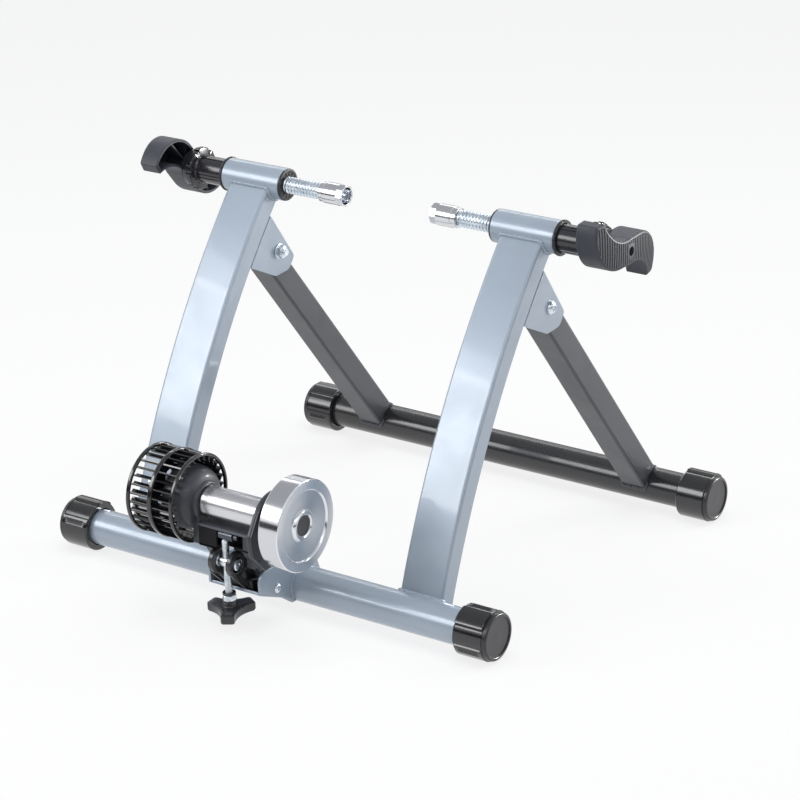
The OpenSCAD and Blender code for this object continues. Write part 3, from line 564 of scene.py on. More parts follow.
def upright():
    section, rows = split(rect(BAR_W, BAR_D, 3.2), (0, 0.34, 0.67)), 45
    out, down = bow_frame(0)
    verts = meet_tube(section, BAR_X, CLAMP, down, out, 16.9)
    for s in np.linspace(22, bow_length - 6, rows):
        verts += [(BAR_X + a, *bow(s, b)) for a, b in section]
    return verts, turned_over(bar_faces(rows + 1, len(section)))


def top_weld():
    out, down = bow_frame(0)
    ring = split(rect(BAR_W + 0.6, BAR_D + 0.6, 3.4), np.arange(0, 1, 0.1))
    return weld(meet_tube(ring, BAR_X, CLAMP, down, out, 17.6), 1.9, 3, 2.4, True)


def foot_weld():
    out, down = bow_frame(bow_length)
    path = []
    rise = np.linspace(-0.5, 11.2, 7)
    over = [(a, 12.2) for a in np.linspace(-24, 24, 22)]
    for a, b in [(-25.2, b) for b in rise] + over + [(25.2, b) for b in rise[::-1]]:
        p = foot + out * b
        k = p @ down
        root = k * k - (p @ p - (TUBE_R + 0.2) ** 2)
        if root >= 0:
            path.append((BAR_X + a, *(p + down * (-k - math.sqrt(root)))))
    return weld(path, 2.2, 8, 2.8)


pair("upright_bar", upright(), FRONT, "silver", "{}_upright", 40)
sleeve = revolve(tube_profile(SLEEVE_IN, SLEEVE_OUT, 17.5, 16, 0.7), CLAMP, 96, True)
pair("sleeve_tube", sleeve, FRONT, "silver", "{}_sleeve")
pair("upright_welds", merge(top_weld(), foot_weld()), FRONT, "silver", "", 60)

# plates of the folding joint, welded to the back of the upright
BACK, PLATE_TOP, PLATE_LOW = -11.4, 34, 95
plate = [tuple(bow(s, BACK)) for s in np.linspace(PLATE_LOW, PLATE_TOP, 14)]
plate += rounded([(*bow(PLATE_TOP, BACK), 0), (FOLD[0] + 27.5, FOLD[1] - 11.5, 5), (FOLD[0] + 18.5, FOLD[1] - 25, 11),
        (FOLD[0] - 5, FOLD[1] - 27, 9), (*bow(PLATE_LOW, BACK), 0)])[1:-1]
plates = merge(prism(plate, 145.02, 148), prism(plate, 192, 194.98))
seams = [weld([(x, *bow(s, -12.3)) for s in np.linspace(38, 90, 12)], r, seed, step)
         for x, r, seed, step in ((147, 1.5, 6, 2.4), (194.2, 0.9, 5, 2))]
pair("plates", plates, FRONT, "silver", "gusset_plates", 35, 0.5)
pair("plate_welds", merge(*seams), FRONT, "silver", "", 60)

# legs, from the folding joint to the rear tube
leg_vec = np.array([BASE_Y, 0]) - np.array(FOLD)
leg_len = float(np.linalg.norm(leg_vec))
leg_run = unit(leg_vec)
leg_side = square(leg_run)
section = rect(30, 29, 3)
stations = [(-17, 0.94), (-16.2, 1)] + [(s, 1) for s in np.linspace(-10, leg_len - 30, 8)]
verts = [(LEG_X + a * k, *(np.array(FOLD) + leg_run * s + leg_side * b * k)) for s, k in stations for a, b in section]
verts += meet_tube(section, LEG_X, (BASE_Y, 0), -leg_run, leg_side, 18.5)
pair("leg_bar", (verts, bar_faces(len(stations) + 1, len(section))), REAR, "leg", "{}_leg", 40)
ring = meet_tube(rect(30.6, 29.6, 3.2), LEG_X, (BASE_Y, 0), -leg_run, leg_side, 19.2)
pair("leg_weld", weld(ring, 2, 11, 2.6, True), REAR, "leg", "", 60)


# ---------------------------------------------------------------- fasteners of the folding joint
def bolt_head(x, c, r=7.2, h=4.4):
    dome = [(0, 0), (0, r), (h * 0.35, r), (h * 0.6, r - 0.5), (h * 0.85, r - 1.8), (h, r - 3.2), (h, 3.3),
            (h - 2.2, 2.9), (h - 2.4, 0)]
    star = lambda xx, a, rr: 0.55 * math.cos(6 * a) if 0 < rr <= 3.35 else 0
    return revolve([(x + d, rr) for d, rr in dome], c, 72, wobble=star)


bolt = merge(bolt_head(195, FOLD), thread(134.6, 143.4, 3.95, 1.25, 0.6, FOLD),
        revolve([(143.2, 4), (195.2, 4)], FOLD, 40))
washer = both_ends(143.4, 145, [(0, 4.2), (0, 8), (0.3, 8.4)])
spacers = (both_ends(148, 159.9, [(0, 4.1), (0, 7.6), (0.4, 8)]),
           both_ends(190.5, 192, [(0, 4.1), (0, 7.7), (0.2, 8)]))
pair("fold_bolt", bolt, FRONT, "zinc", "fold_bolts")
pair("fold_nut", nyloc(143.4, FOLD), FRONT, "zinc", "fold_nuts", 30)
pair("fold_washer", revolve(washer, FOLD, 64, True), FRONT, "zinc", "fold_washers")
pair("fold_spacer", merge(*[revolve(p, FOLD, 48, True) for p in spacers]), FRONT, "bush", "fold_spacers")


# ---------------------------------------------------------------- levelling caps
def cap(turn, y):
    """Shell with a raised and a sunk sector, three notches and two hatched strips, and the end disc."""
    x0, x1 = HALF - CAP_LEN, HALF

    def sector(x, a, r):
        deg = (math.degrees(a) - turn) % 360
        e = 0
        if r <= 24.5 or x >= x1 - 5.15:
            return e
        if 70 <= deg < 118:
            e = 1.4
        elif 118 <= deg < 166 and x > x0 + 1.2:
            e = -1.4
        if any(abs((deg - edge + 180) % 360 - 180) < 1.4 for edge in (70, 118, 166)):
            e = -1.1
        for low in (172, 48):
            if low <= deg <= low + 14 and x0 + 4 < x < x1 - 8:
                e += 0.45 * (int(round((deg - low) / 2)) % 2)
        return e
    side = [(x0 + 1, 19.4), (x0, 20.2), (x0, 24.6), (x0 + 0.5, 25.4), (x0 + 1.3, CAP_R)]
    side += [(x0 + 1.3 + (CAP_LEN - 6.9) * k / 16, CAP_R) for k in range(1, 17)]
    side += [(x1 - 5.2, 25.7), (x1 - 5, 25), (x1 - 4.9, 24.6)]
    rim = [(4.9, 24.6), (1.6, 24.6), (0.9, 24.3), (0.3, 23.6), (0, 22.8), (0, 21.4), (0.3, 20.9), (1.1, 20.7),
           (1.3, 20.2), (1.3, 6), (1.15, 5.4), (1.15, 0)]
    return revolve(side, (y, 0), 180, None, sector), revolve([(x1 - d, r) for d, r in rim], (y, 0), 96)


for end, y, turns in (("front", 0, (30, -20)), ("rear", BASE_Y, (-25, 12))):
    for (side, flip), turn in zip(SIDES, turns):
        name, body = f"{end}_{side}_cap", f"{end}_{side}_foot"
        shell, disc = cap(turn, y)
        build(name + "_shell", flip(shell), body, "cap_gloss", name, 28)
        build(name + "_end", flip(disc), body, "cap", name, 28)


# ---------------------------------------------------------------- axle clamps, here round the X axis itself
KNOB_FACE, KNOB_DEPTH, DOME_R, WALL = 287.5, 30, 280, 3
KNOB_BACK = KNOB_FACE - KNOB_DEPTH
RIB_PITCH, RIB_HALF, RIB_START, RIB_DEPTH = 3.7, 0.8, -66.6, 1.35

bush_rib = block(130.6, 131.4, 10, 14.4, -0.55, 0.55)
inner_bush = merge(revolve([
    (139.5, 9.2), (139.5, 15.9), (SLEEVE_IN, 15.9), (SLEEVE_IN, 17), (131.3, 17.1), (130.8, 16.7), (130.6, 16.2),
    (130.6, 14.4), (131.2, 14), (131.2, 10.4), (130.5, 10.1), (130.5, 9.2)], closed=True),
    spokes(bush_rib, (0, 0), 14))
outer_bush = revolve([
    (196, 14.95), (SLEEVE_OUT, 14.95), (209.4, 15.1), (209.7, 15.6), (209.7, 17.6), (209.3, 18.2), (208.7, 18.5),
    (207.3, 18.5), (206.8, 18.2), (SLEEVE_OUT, 15.9), (196, 15.9)], n=144, closed=True,
    wobble=lambda x, a, r: -0.9 if r > 17.6 and math.degrees(a) % 30 < 5 else 0)


def cup_flats(x, a, r):
    across = 10.806
    return min(0, across / math.cos(a % (pi / 4) - pi / 8) - r) if r >= 10.2 and x <= 62.1 else 0


cup = revolve([
    (56, 8.8), (55.3, 9.1), (55, 9.6), (55, 10.7), (55.3, 11.2), (55.9, 11.5), *[(x, 11.5) for x in range(57, 63)],
    (62.6, 11.5), (66, 11.5), (79.4, 11.5), (79.8, 11.3), (80, 10.8), (80.3, 10.7), (85.2, 10.7), (85.7, 10.4),
    (86, 9.8), (86, 6.1), (75, 6.1), (75, 7.8), (72.2, 7.8), (72, 8.8)], n=144, closed=True, wobble=cup_flats)
screw = merge(thread(86.4, 164.5, 9, 4, 1.35, n=48, per=10),
        revolve([(72.9, 7.4), (74.7, 7.4), (74.7, 6), (87, 6)], n=40),
        revolve([(164, 8.95), (268.4, 8.95)], n=48))


def handle_ribs(x, a, r):
    e, deg = 0, math.degrees(a)
    k = (deg - 20) % 90
    if 210 < x < 243 and r > 14 and (k < 3 or 14 < k < 17):
        e -= 0.9
    k = (deg - 12) % 60
    if 243.9 < x < 251 and r > 20:
        e += -1.7 if k < 16 else 0.7 if 20 < k < 24 else 0
    return e


handle = revolve([
    (165, 9.2), (165, 14.2), (165.6, 14.8), (205, 14.8), (210.5, 14.8), (211, 14.8), (242, 14.8), (242.6, 15.4),
    (243.6, 16.6), (244, 20.6), (244.4, 22.4), (245.2, 23), (249.8, 23), (250.6, 22.6), (251, 21.4),
    (251.2, 20.6), (255.2, 20.4), (256, 20), (256, 9.2)], n=180, closed=True, wobble=handle_ribs)


def knob_outline(wall=0):
    """Two lobes and two hollows, set in by a wall, with soft corners at the tips."""
    lobe = arc(20, -22, 37 - wall, 95, -22 + wall * 1.5, 30)
    hollow = arc(9, -48, 35 + wall, 18 + wall * 1.5, 103, 30)
    half = (lobe[:-1] + corner(lobe[-2], lobe[-1], hollow[0], 1.5, 4)
            + corner(lobe[-1], hollow[0], hollow[1], 1.5, 4) + hollow[1:])
    return half + [(-y, -z) for y, z in half]


def dome(y, z, inset=0):
    return KNOB_FACE - DOME_R + math.sqrt((DOME_R - inset) ** 2 - y * y - z * z)


def spans(loop, y):
    """Pieces (z0, z1) of the line at y that lie inside a loop."""
    zs = sorted(a[1] + (b[1] - a[1]) * (y - a[0]) / (b[0] - a[0])
                for a, b in zip(loop, loop[1:] + loop[:1]) if (a[0] > y) != (b[0] > y))
    return zip(zs[::2], zs[1::2])


def knob_field(inset, ribs):
    """The knob's face with ribs and a sunk centre, or the plain underside of the face in the hollow."""
    loop = knob_outline(inset)
    n = len(loop)
    pts = [Vector(p) for p in loop]
    edges = [(i, (i + 1) % n) for i in range(n)]
    y, cuts = RIB_START, []
    while y < -RIB_START + 0.4:
        cuts += [y + RIB_HALF * k for k in (-1, -0.45, 0.45, 1)] if ribs else [y]
        y += RIB_PITCH * (1 if ribs else 2)
    for c in cuts:
        for lo, hi in spans(loop, c):
            lo, hi = lo + 0.05, hi - 0.05
            if hi - lo < 1:
                continue
            steps = max(1, int((hi - lo) / 6))
            edges += [(len(pts) + k, len(pts) + k + 1) for k in range(steps)]
            pts += [Vector((c, lo + (hi - lo) * k / steps)) for k in range(steps + 1)]
    for r in (4.25, 4.75, 7.2) if ribs else ():
        edges += [(len(pts) + k, len(pts) + (k + 1) % 36) for k in range(36)]
        pts += [Vector(p) for p in circle(r, 36)]
    flat, _, faces, origin = delaunay_2d_cdt(pts, edges, [list(range(n))], 1, 1e-4)[:4]
    verts = []
    for p, came_from in zip(flat, origin):
        x, r = dome(p.x, p.y, 0 if ribs else WALL), math.hypot(p.x, p.y)
        if ribs and r < 4.5:
            x -= 4.6
        if ribs and r > 7.5 and not any(o < n for o in came_from):
            if abs((p.x - RIB_START + RIB_PITCH / 2) % RIB_PITCH - RIB_PITCH / 2) < RIB_HALF * 0.6:
                x -= RIB_DEPTH
        verts.append((x, p.x, p.y))
    out = []
    for f in faces:
        a, b, c = (verts[i] for i in f[:3])
        area = (b[1] - a[1]) * (c[2] - a[2]) - (b[2] - a[2]) * (c[1] - a[1])
        out.append(tuple(f) if (area > 0) == ribs else tuple(reversed(f)))
    return verts, out


def knob():
    rings = [[(dome(y, z, WALL), y, z) for y, z in knob_outline(WALL)]]
    rings += [[(KNOB_BACK + rise, y, z) for y, z in knob_outline(inset)]
              for inset, rise in ((WALL, 0), (0.7, 0), (0, 0.7))]
    rings += [[(dome(y, z) - drop, y, z) for y, z in knob_outline(inset)]
              for inset, drop in ((0, 2.2), (0.25, 1.2), (0.8, 0.4), (1.6, 0.05), (2.3, 0))]
    wall = [p for ring in rings for p in ring], grid_faces(len(rings), len(rings[0]))
    hub = revolve([(255.9, 9.2), (255.9, 17.6), (256.3, 18), (259.5, 18), (259.5, 13), (KNOB_FACE - 4, 13)], n=64)
    loop = knob_outline(0)

    def inside(y, z):
        return any(z0 < z < z1 for z0, z1 in spans(loop, y))
    webs = []
    for a in (62, 118, 242, 298, 0, 180, 30, 210):
        t = math.radians(a)
        reach = 11
        while inside(*polar(reach + 1, t)) and reach < 60:
            reach += 0.5
        bare = block(KNOB_BACK + 6, 0, 11, reach - 1, -0.9, 0.9)
        pts = [(x, y * math.cos(t) - z * math.sin(t), y * math.sin(t) + z * math.cos(t)) for x, y, z in bare[0]]
        webs.append(([(dome(y, z, 2) if x == 0 else x, y, z) for x, y, z in pts], bare[1]))
    return merge(wall, knob_field(2.3, True), knob_field(WALL, False), hub, *webs)


head = [(5, 0), (5, 4.1), (3.6, 4.1), (3.1, 3.6), (3, 1.9), (4.4, 1.7), (4.5, 0)]
knob_screw = merge(revolve([(KNOB_FACE - d, r) for d, r in head], n=48,
        wobble=lambda x, a, r: 0.28 * math.cos(6 * a) if 0 < r < 2 else 0),
        revolve([(268.6, 2.1), (KNOB_FACE - 4.9, 2.1)], n=24))
grip = knob()
at_clamp = Matrix.Translation((0, *CLAMP))
for side, at, turn in (("right", at_clamp, 0), ("left", at_clamp @ Matrix.Rotation(pi, 4, "Z"), 46)):
    spun = at @ Matrix.Rotation(math.radians(turn), 4, "X")
    for name, part, matrix, body, material, node, sharp in (
            ("grip", grip, spun, "handle", "knob", "knob", 38),
            ("grip_centre_screw", knob_screw, spun, "handle", "screw_black", "knob_screw", 33),
            ("sleeve_bush", inner_bush, at, FRONT, "bush", "inner_bush", 30),
            ("sleeve_guide", outer_bush, at, FRONT, "bush", "outer_bush", 30),
            ("cup", cup, at, "cup", "cup", "axle_cup", 12),
            ("screw", screw, at, "handle", "zinc_thread", "clamp_screw", 40),
            ("handle_sleeve", handle, spun, "handle", "handle", "handle_tube", 30)):
        build(f"{side}_{name}", moved(part, matrix), body if body == FRONT else f"{side}_{body}", material,
              f"{side}_{node}", sharp)

# ---------------------------------------------------------------- unit bracket
plate_line = rounded([(-70, 10, 2), (-72, 34, 18), (-12, 34, 12), (25, 19, 8), (33, 0, 8), (21, -16, 8),
        (-17, -16, 6), (-35, -4, 2)], 10)
web_low, web_high = np.array([(-70, 10), (-35, -4)])
web_len = np.linalg.norm(web_high - web_low)
web_run = unit(web_high - web_low)


def on_web(s, out):
    """Point at distance s along the web's underside, and out above it."""
    return tuple(web_low + web_run * s + square(web_run) * out)


web_line = [on_web(0.4, 0), on_web(web_len - 0.4, 0), on_web(web_len - 0.4, 3), on_web(0.4, 3)]
seam = arc(0, 0, TUBE_R + 0.3, 64, 218, 33)
pair("unit_plate", prism(plate_line, 29.5, 32.5), FRONT, "silver", "unit_bracket", 35, 0.6)
pair("unit_weld", merge(*[weld([(x, *p) for p in seam], 0.9, seed, 1.7) for x, seed in ((32.7, 21), (29.3, 22))]),
     FRONT, "silver", "", 60)
build("unit_web", prism(web_line, -29.6, 29.6), FRONT, "silver", "unit_bracket", 35, 0.5)


# ears that carry the swivel pin
def ear_rib(a, b, w=1.1, x=13.5):
    a, b = np.array(a, float), np.array(b, float)
    q = square(unit(b - a)) * w
    return prism([tuple(a + q), tuple(a - q), tuple(b - q), tuple(b + q)], x - 0.5, x + 1.1)


boss = revolve([(8, 6.5), (8, 12.4), (8.3, 13), (9, 13.4), (13, 13.4), (13.7, 13), (14, 12.4), (14, 9.4),
        (13.4, 8.9), (13.4, 6.5)], PIN, 96, True)
cheek = rounded([(PIN[0] - 12.6, PIN[1] - 1.5, 0), (*on_web(3, 3), 2), (*on_web(36, 3), 1.5), (-30, 14, 3),
        (-49, 24, 6), (PIN[0] + 10.7, PIN[1] + 8, 0)], 6)
seat = rounded([(*on_web(3, 3.02), 1), (*on_web(36, 3.02), 1), (-30, 14.6, 3), (-48, 19, 2), (-69.5, 24.5, 2)], 5)
ear = merge(prism(cheek, 8.3, 13.4), boss)
ribs = merge(*[ear_rib(*line) for line in (
    ((-91.5, 35), (-66, 11.5)), ((-79.5, 31.5), (-60, 9.4)), ((-70.5, 38), (-45, 13)), ((-94, 42), (-67, 12.5)),
    ((-49, 23), (-31, 13.5)))])
build("ear_pair", merge(ear, mirrored(ear)), FRONT, "bracket_black", "ear_bracket", 35, 0.5)
build("ear_block", prism(seat, -20, 20), FRONT, "bracket_black", "ear_bracket", 35, 0.9, 3)
build("ear_ribs", merge(ribs, mirrored(ribs)), FRONT, "bracket_black", "", 35, 0.4)

unit_head = revolve([
    (32.5, 0), (32.5, 5.1), (33, 5.1), (33.6, 4.9), (34.3, 4.3), (34.8, 3.3), (34.9, 2.9), (34.9, 2.3), (33.6, 1.9),
    (33.5, 0)], UNIT, 64, wobble=lambda x, a, r: 0.3 * math.cos(4 * a) if 0 < r < 2.5 else 0)
unit_rod = revolve([(-40.4, 2), (-40.4, 2.6), (-40, 3), (32.6, 3)], UNIT, 40)
build("unit_pin", merge(unit_head, unit_rod), FRONT, "zinc", "unit_bolt")
build("unit_lock_nut", nyloc(-32.5, UNIT, 9.9, 5), FRONT, "zinc", "unit_nut", 30)

# ---------------------------------------------------------------- cradle
ARM = (20.3, 29.2)
housing = revolve([
    (-28, 7.4), (-28, 17.2), (-28.2, 18.3), (-28.9, 19.4), (-30.2, 20.2), (-31.2, 20.6), (-31.5, 21.6), (-31.9, 23.6),
    (-32.9, 26), (-34.8, 28.3), (-37.4, 30.1), (-40.2, 31.3), (-43, 32.1), (-46.5, 32.7), (-50, 33), (-60.9, 33),
    (-61.7, 32.6), (-62, 31.9), (-62, 29.6), (-61.4, 29), (-45, 28.6), (-43.4, 27), (-43.2, 7.4)], ROLL, 128, True)
housing_foot = prism(rounded([(-89, 58.5, 1), (-60, 58.5, 1), (-60, 88, 1), (-89, 88, 1)], 3), -36, -28.02)
panel = merge(block(-28, -5.9, -90.45, -88, 58.5, 80.5), block(-28, -5.9, -90.45, -60, 58.5, 61.5))


def barrel_outline(r=11, flat=-6.16):
    """The arm's lower end: a circle with two flats, along the web and 12 degrees off it."""
    pts = []
    for k in range(96):
        p = np.array(polar(r, 2 * pi * k / 96))
        for turn in (0, 12):
            nn = square(polar(1, math.atan2(web_run[1], web_run[0]) + math.radians(turn)))
            p = p + nn * max(0, flat - p @ nn)
        pts.append((UNIT[0] + p[0], UNIT[1] + p[1]))
    return pts


arm = rounded([(-33, 11, 3), (-60, 54.5, 6), (-60, 81, 1), (-82, 81, 1), (-82, 58.5, 4), (-52, 13, 3)], 6)
jog = [(20.4, 40), (29.2, 40), (53.5, 55.5), (53.5, 66.5), (49.5, 66.5), (20.4, 58.5)]
jog_faces = [tuple(range(6)), tuple(reversed(range(6, 12)))]
jog_faces += [(i, i + 6, (i + 1) % 6 + 6, (i + 1) % 6) for i in range(6)]
cheek = rounded([(*p, 0) for p in arc(-75, 97, 31.5, -8, 151, 44)]
        + [(-114.8, 91.5, 9), (-111, 70, 9), (-88, 48.6, 6), (-60, 52.3, 6), (-50, 84, 12)], 8)
rim = rounded([(*p, 0) for p in arc(-75, 97, 29.9, -20, 151, 40)]
        + [(-113.1, 91, 8), (-109.6, 71, 8), (-100, 61.5, 3)], 6)
rim_frames = []
for before, p, after in zip(rim[:1] + rim[:-1], rim, rim[1:] + rim[-1:]):
    d = np.array(after) - np.array(before)
    d = d / max(np.linalg.norm(d), 1e-6)
    rim_frames.append(((53.7, *p), (1, 0, 0), (0, d[1], -d[0])))
boss = revolve([(53.5, 8.1), (53.5, 20.5), (54.3, 19.2), (56, 18.3), (61.1, 18), (62, 17.6), (62.5, 16.8),
        (62.5, 8.1)], ROLL, 96, True)
gusset = block(53.3, 59.5, 17.5, 27, -1, 1)
gusset = [(x if y < 20 else min(x, 54.1), y, z) for x, y, z in gusset[0]], gusset[1]

build("fan_side_dome", housing, CRADLE, "cradle_black", "cradle", 32)
pair("arm_plate", merge(prism(arm, *ARM), prism(barrel_outline(), *ARM)), CRADLE, "cradle_black", "cradle", 35, 0.7)
# the channel roof carries a painted-light grey, and the channel's back, panel and floor carry a painted-shade black
for name, part, material, bevel, segments in (
        ("channel_back", block(-28, 49.7, -63, -60, 51, 81.9), "panel_shade_black", 0.6, 2),
        ("channel_roof", block(-28, 49.7, -90.5, -60, 79, 82), "roof_lit_grey", 0.6, 2),
        ("channel_panel", panel, "panel_shade_black", 0.8, 3),
        ("channel_floor", block(9, 49.6, -82, -60, 58.5, 61.5), "panel_shade_black", 0.7, 2),
        ("housing_foot", housing_foot, "cradle_black", 0.8, 2),
        ("arm_jog", ([(x, y, z) for y in (-60.2, -76.2) for x, z in jog], jog_faces), "cradle_black", 0.9, 3),
        ("flywheel_cheek", prism(cheek, 49.5, 53.5), "cradle_black", 1.2, 3),
        ("cheek_boss", merge(boss, spokes(gusset, ROLL, 6, 30)), "cradle_black", 0.3, 2)):
    build(name, part, CRADLE, material, "cradle", 35, bevel, segments)
rim_bead = sweep([(-1.3, -0.9), (1.3, -0.9), (1.3, 0.9), (-1.3, 0.9)], rim_frames)
build("cheek_rim", rim_bead, CRADLE, "cradle_black", "", 40, 0.4)

box_lo, box_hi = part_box("cradle_bearings")
x_lo, x_hi, wide = float(box_lo[0]) * 1000, float(box_hi[0]) * 1000, 8
race = [(0, 6.02), (0, 7.6), (0.4, 8), (0.9, 8.2), (0.9, 12), (0.4, 12.3), (0, 12.6), (0, 13.6), (0.4, 14)]
bearings = [revolve(both_ends(x0, x0 + wide, race), ROLL, 72, True) for x0 in (x_lo, x_hi - wide)]
build("bearing_pair", merge(*bearings), CRADLE, "zinc", "cradle_bearings", slot="turned_steel")

# ---------------------------------------------------------------- roller group
drum = revolve(both_ends(-27.5, 49, [(0, 6), (0, 14.6), (0.2, 15.4), (0.9, 16)]), ROLL, 160, True)
shaft = merge(revolve([(-95, 0), (-95, 6), (86, 6), (86, 5.4), (86, 0)], ROLL, 64),
        thread(-103, -95, 5.9, 1.25, 0.7, ROLL, 40, 10))
fly = [(86, 6), (86, 10.6), (88.8, 10.6), (89, 11.2), (89.9, 12.4), (90, 13.4), (89.9, 14.6), (89, 15.7),
       (87.6, 16.5), (87.3, 17.2), (87.8, 22), (88.4, 28), (89, 34.6), (89.2, 35.6), (90.5, 36.5), (91, 37.1),
       (91, 45.8), (90.8, 46.4), (90.4, 46.8), (89.9, 47), (69.2, 47), (68.6, 46.8), (68.2, 46.4), (68, 45.8),
       (68, 39.2), (68.4, 38.5), (69.5, 38), (78.6, 37), (79, 36), (79, 19), (78.4, 18.2), (75.4, 16.4),
       (75, 15.6), (75, 6)]
plug = [(86.1, 0), (86.1, 10.45), (88.2, 10.45), (88.9, 10.2), (89.2, 9.6), (89.2, 8.8), (88.9, 8.3), (88.6, 7.8),
        (88.55, 0)]
build("roller_drum", drum, ROLLERS, "roller", "roller")
build("drum_shaft", shaft, ROLLERS, "zinc", "roller_shaft", slot="turned_steel")
disc = revolve(fly, ROLL, 256, True)
disc = build("flywheel_disc", disc, ROLLERS, "flywheel", "flywheel", 28)
disc.data.materials.append(M["flywheel_rim"])
for polygon in disc.data.polygons:
    polygon.material_index = 1 if abs(polygon.normal.x) < 0.2 else 0
build("centre_plug", revolve(plug, ROLL), ROLLERS, "plug", "flywheel_plug")


def fan_ring(x, half, r0, r1):
    e = min(half, (r1 - r0) / 2) * 0.75
    corners = ((x + half - e, r1 - e, 0), (x - half + e, r1 - e, 90), (x - half + e, r0 + e, 180),
               (x + half - e, r0 + e, 270))
    return revolve([p for cx, cr, a in corners for p in arc(cx, cr, e, a, a + 90, 5)], ROLL, 160, True)


def blade_outline(r=41, tilt=math.radians(24)):
    """One thin curved blade, thicker at its outer edge, turned by tilt about radius r."""
    shares = [k / 8 for k in range(9)]
    line = [(36.9 + 8.1 * t, 1.7 * math.sin(pi * t) - 0.35 * (1 + t)) for t in shares]
    line += [(36.9 + 8.1 * t, 1.7 * math.sin(pi * t) + 0.35 * (1 + t)) for t in reversed(shares)]
    s, c = math.sin(tilt), math.cos(tilt)
    return [(r + (u - r) * c - v * s, (u - r) * s + v * c) for u, v in line]


blades = merge(*[prism(blade_outline(), x0, x1) for x0, x1 in ((-94.6, -69.4), (-66.6, -41.4))])
holes = [circle(7, 28, polar(25, k * pi / 3, ROLL)) for k in range(6)] + [circle(6, 32, ROLL)]
hub = revolve([(-95, 6), (-95, 10.2), (-94.4, 11), (-70.5, 11), (-69.4, 12.6), (-66.6, 12.6), (-65.4, 11),
        (-64.4, 10.8), (-64, 10.2), (-64, 6)], ROLL, 64, True)
fin = ([(x, r, s) for s in (-0.9, 0.9) for x, r in ((-93, 10.4), (-69.4, 10.4), (-69.4, 17))],
       [(0, 1, 2), (5, 4, 3), (0, 3, 4, 1), (1, 4, 5, 2), (2, 5, 3, 0)])
rings = merge(fan_ring(-41, 2, 42.5, 46), fan_ring(-68, 2.6, 42.2, 46), fan_ring(-95, 2, 42.5, 46))
nut_ring = revolve([(-99.9, 8.2), (-101, 7.6), (-101, 6.2), (-99.9, 6.1)], ROLL, 56)
nut = merge(hexagon(18, -95, -100.2, ROLL, 0.2, 1.1, 6), nut_ring)
build("fan_rings", rings, ROLLERS, "fan", "fan", 30)
build("fan_blades", spokes(blades, ROLL, 30), ROLLERS, "fan", "fan", 30)
build("fan_web", holed(circle(43, 120, ROLL), holes, -69.5, -66.5), ROLLERS, "fan", "fan", 35, 0.4)
build("fan_hub", merge(hub, spokes(fin, ROLL, 6, 30)), ROLLERS, "fan", "fan")
build("fan_lock_nut", nut, ROLLERS, "zinc", "fan_nut", 30)

# ---------------------------------------------------------------- adjuster, here round the X axis itself
LEAN = math.radians(5)
ROOF, GAP, HEAD = 79, 0.3, 5
at_pin = Matrix.Translation((0, *PIN)) @ Matrix.Rotation(LEAN, 4, "X")
on_rod = at_pin @ Matrix(((0, 1, 0, 0), (0, 0, 1, 0), (1, 0, 0, 0), (0, 0, 0, 1)))
barrel_up = (ROOF - GAP - HEAD - PIN[1]) / math.cos(LEAN)

pin_end = revolve([(7.5, 3.9), (7.5, 6), (7.9, 6.4), (13.8, 6.4), (14.3, 6.3), (14.8, 5.7), (15, 4.9), (15, 1.9),
        (14.4, 1.4), (14.3, 0)], n=56)
pin = merge(revolve([(-8, 5.6), (8, 5.6)], n=56), pin_end, mirrored(pin_end))
barrel = revolve([(-5, 0), (-5, 4.4), (-4.5, 5), (11.5, 5), (12, 4.5), (12, 3), (16.6, 3), (17, 2.6), (17, 0)],
        (0, barrel_up), 56)
rod = merge(thread(-55.8, 22.5, 3.9, 1.25, 0.16), revolve([
    (22.5, 3.9), (24.2, 3.9), (24.5, 3.6), (24.5, 2.7), (31.2, 2.7), (31.5, 2.3), (31.5, 0)], n=40))
neck_ring = revolve(both_ends(-36, -33.6, [(0, 3.95), (0, 6.4), (0.4, 6.8)]), n=56, closed=True)
neck = revolve([(-48.4, 3.9), (-48.4, 9), (-47.9, 8.2), (-47.2, 7.7), (-46, 7.5), (-42.9, 7.5), (-42.3, 7.2),
        (-42, 6.6), (-42, 3.9)], closed=True)


def star_outline(grow=0):
    """Three arms with flat ends, and a round hollow from each arm to the next."""
    half, reach, waist, soft = 7 + grow, 25 + grow, 13.5 + grow, 1.5
    r = math.hypot(reach - soft, half)
    share = pi / 3 - math.atan(half / (reach - soft))
    far = (r * r - waist * waist) / (2 * (r * math.cos(share) - waist))
    spread = math.atan2(r * math.sin(share), far - r * math.cos(share))
    pts = []
    for a in (-pi / 3, pi / 3, pi):
        pts += [polar(q, a + pi / 2, polar(reach, a)) for q in (soft - half, half - soft)]
        start, middle = a + pi * 4 / 3 + spread, polar(far, a + pi / 3)
        pts += [polar(far - waist, start - 2 * spread * k / 16, middle) for k in range(17)]
    return pts


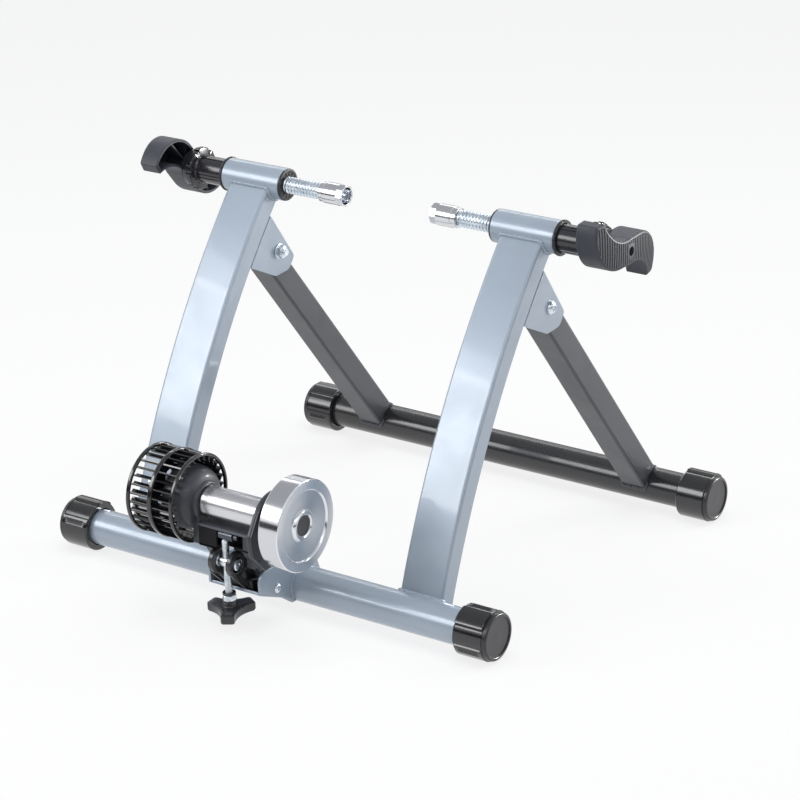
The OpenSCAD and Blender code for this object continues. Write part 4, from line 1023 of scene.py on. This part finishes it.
levels = [(-59, -2.2), (-58.4, -1), (-57.4, -0.3), (-56.2, 0), (-50.2, 0), (-49, -0.35), (-48.3, -1.1), (-48, -2.3)]
verts = [(x, u * (1 + g / math.hypot(u, v)), v * (1 + g / math.hypot(u, v)))
         for x, g in levels for u, v in star_outline(g * 0.6)]
star = verts, bar_faces(len(levels), len(star_outline()))
for name, part, at, body, material, node, sharp in (
        ("swivel_pin", pin, at_pin, "pin_body", "zinc", "cross_pin", 35),
        ("push_barrel", barrel, at_pin, "thrust_body", "screw_black", "thrust_block", 35),
        ("push_rod", rod, on_rod, ADJUSTER, "zinc", "adjuster_rod", 45),
        ("neck_ring", neck_ring, on_rod, ADJUSTER, "star", "", 35),
        ("knob_lock_nut", hexagon(13, -42, -36, (0, 0), 0.3, 0.8, 3.95, True), on_rod, ADJUSTER, "zinc",
         "adjuster_nut", 30),
        ("star_knob", star, on_rod, ADJUSTER, "star", "adjuster_knob", 30),
        ("star_neck", neck, on_rod, ADJUSTER, "star", "adjuster_knob", 30)):
    build(name, moved(part, at), body, material, node, sharp)

# ---------------------------------------------------------------- stage and light
SPAN, CELLS, ALBEDO, WHITE = 6, 12, 0.94, 0.8
n = Nodes("pale_floor", True)
tone = n.add("MixRGB", Fac=n.add("TexNoise", Scale=6).outputs["Fac"], Color1=(ALBEDO, ALBEDO, ALBEDO),
        Color2=(ALBEDO * 0.98, ALBEDO * 0.98, ALBEDO * 0.985)).outputs["Color"]
share = n.math("MULTIPLY", n.seen(), WHITE)
pale = n.end("OutputMaterial", n.blend(share, n.add("BsdfDiffuse", Color=tone), n.add("Emission", Strength=1)))
steps = range(CELLS + 1)
starts = [j * len(steps) + i for j in range(CELLS) for i in range(CELLS)]
corners = [(k, k + 1, k + 1 + len(steps), k + len(steps)) for k in starts]
floor_mesh = bpy.data.meshes.new("floor")
spots = [SPAN * (2 * k / CELLS - 1) for k in steps]
floor_mesh.from_pydata([(x, y, -0.0004) for y in spots for x in spots], [], corners)
floor_mesh.materials.append(pale)
floor = show("floor", floor_mesh)

scene.world = bpy.data.worlds.new("studio")
n = Nodes(scene.world, True)
dim = n.add("Background", Color=(0.93, 0.96, 1), Strength=0.5)
n.end("OutputWorld", n.blend(n.seen(), dim, n.add("Background", Color=(1, 1, 1), Strength=1)))


def lamp(name, position, size, energy):
    """An area light that points at the middle of the trainer."""
    light = bpy.data.lights.new(name, "AREA")
    light.shape = "RECTANGLE"
    light.size, light.size_y = size
    light.energy = energy
    obj = show(name, light)
    obj.location = position
    obj.rotation_euler = (Vector((0, 0, 0.18)) - Vector(position)).to_track_quat("-Z", "Y").to_euler()
    return obj


lamp("key", (-1.35, -1.85, 1.25), (1.1, 0.8), 16)
top = lamp("top", (0.2, -0.1, 2.3), (1.8, 1.8), 24)
lamp("side", (1.3, 1.6, 1.45), (0.8, 0.8), 9)
shine = lamp("shine", (1.5, 1.9, 0.45), (0.35, 0.5), 45)
shine.visible_diffuse = shine.visible_camera = False
top.visible_glossy = False


def card(name, radius, elevations, strength):
    """A studio card that only reflections see: a band of a sphere round the object."""
    turns, height = 48, 0.12
    mesh = bpy.data.meshes.new(name)
    bands = [polar(radius, math.radians(e)) for e in elevations]
    mesh.from_pydata([(*p, height + z) for r, z in bands for p in circle(r, turns)], [],
            grid_faces(len(bands), turns))
    n = Nodes(name, True)
    mesh.materials.append(n.end("OutputMaterial", n.add("Emission", Color=(0.95, 0.97, 1), Strength=strength)))
    obj = show(name, mesh)
    obj.visible_camera = obj.visible_diffuse = obj.visible_shadow = False
    obj.visible_transmission = obj.visible_volume_scatter = False


card("dark_card", 2.6, (-2.4, 2, 6, 9.5), 0.03)
card("grey_card", 3.4, (40, 55, 66, 78, 89), 0.5)
card("bright_card", 3.2, (33.5, 35.5, 37.5), 4.2)
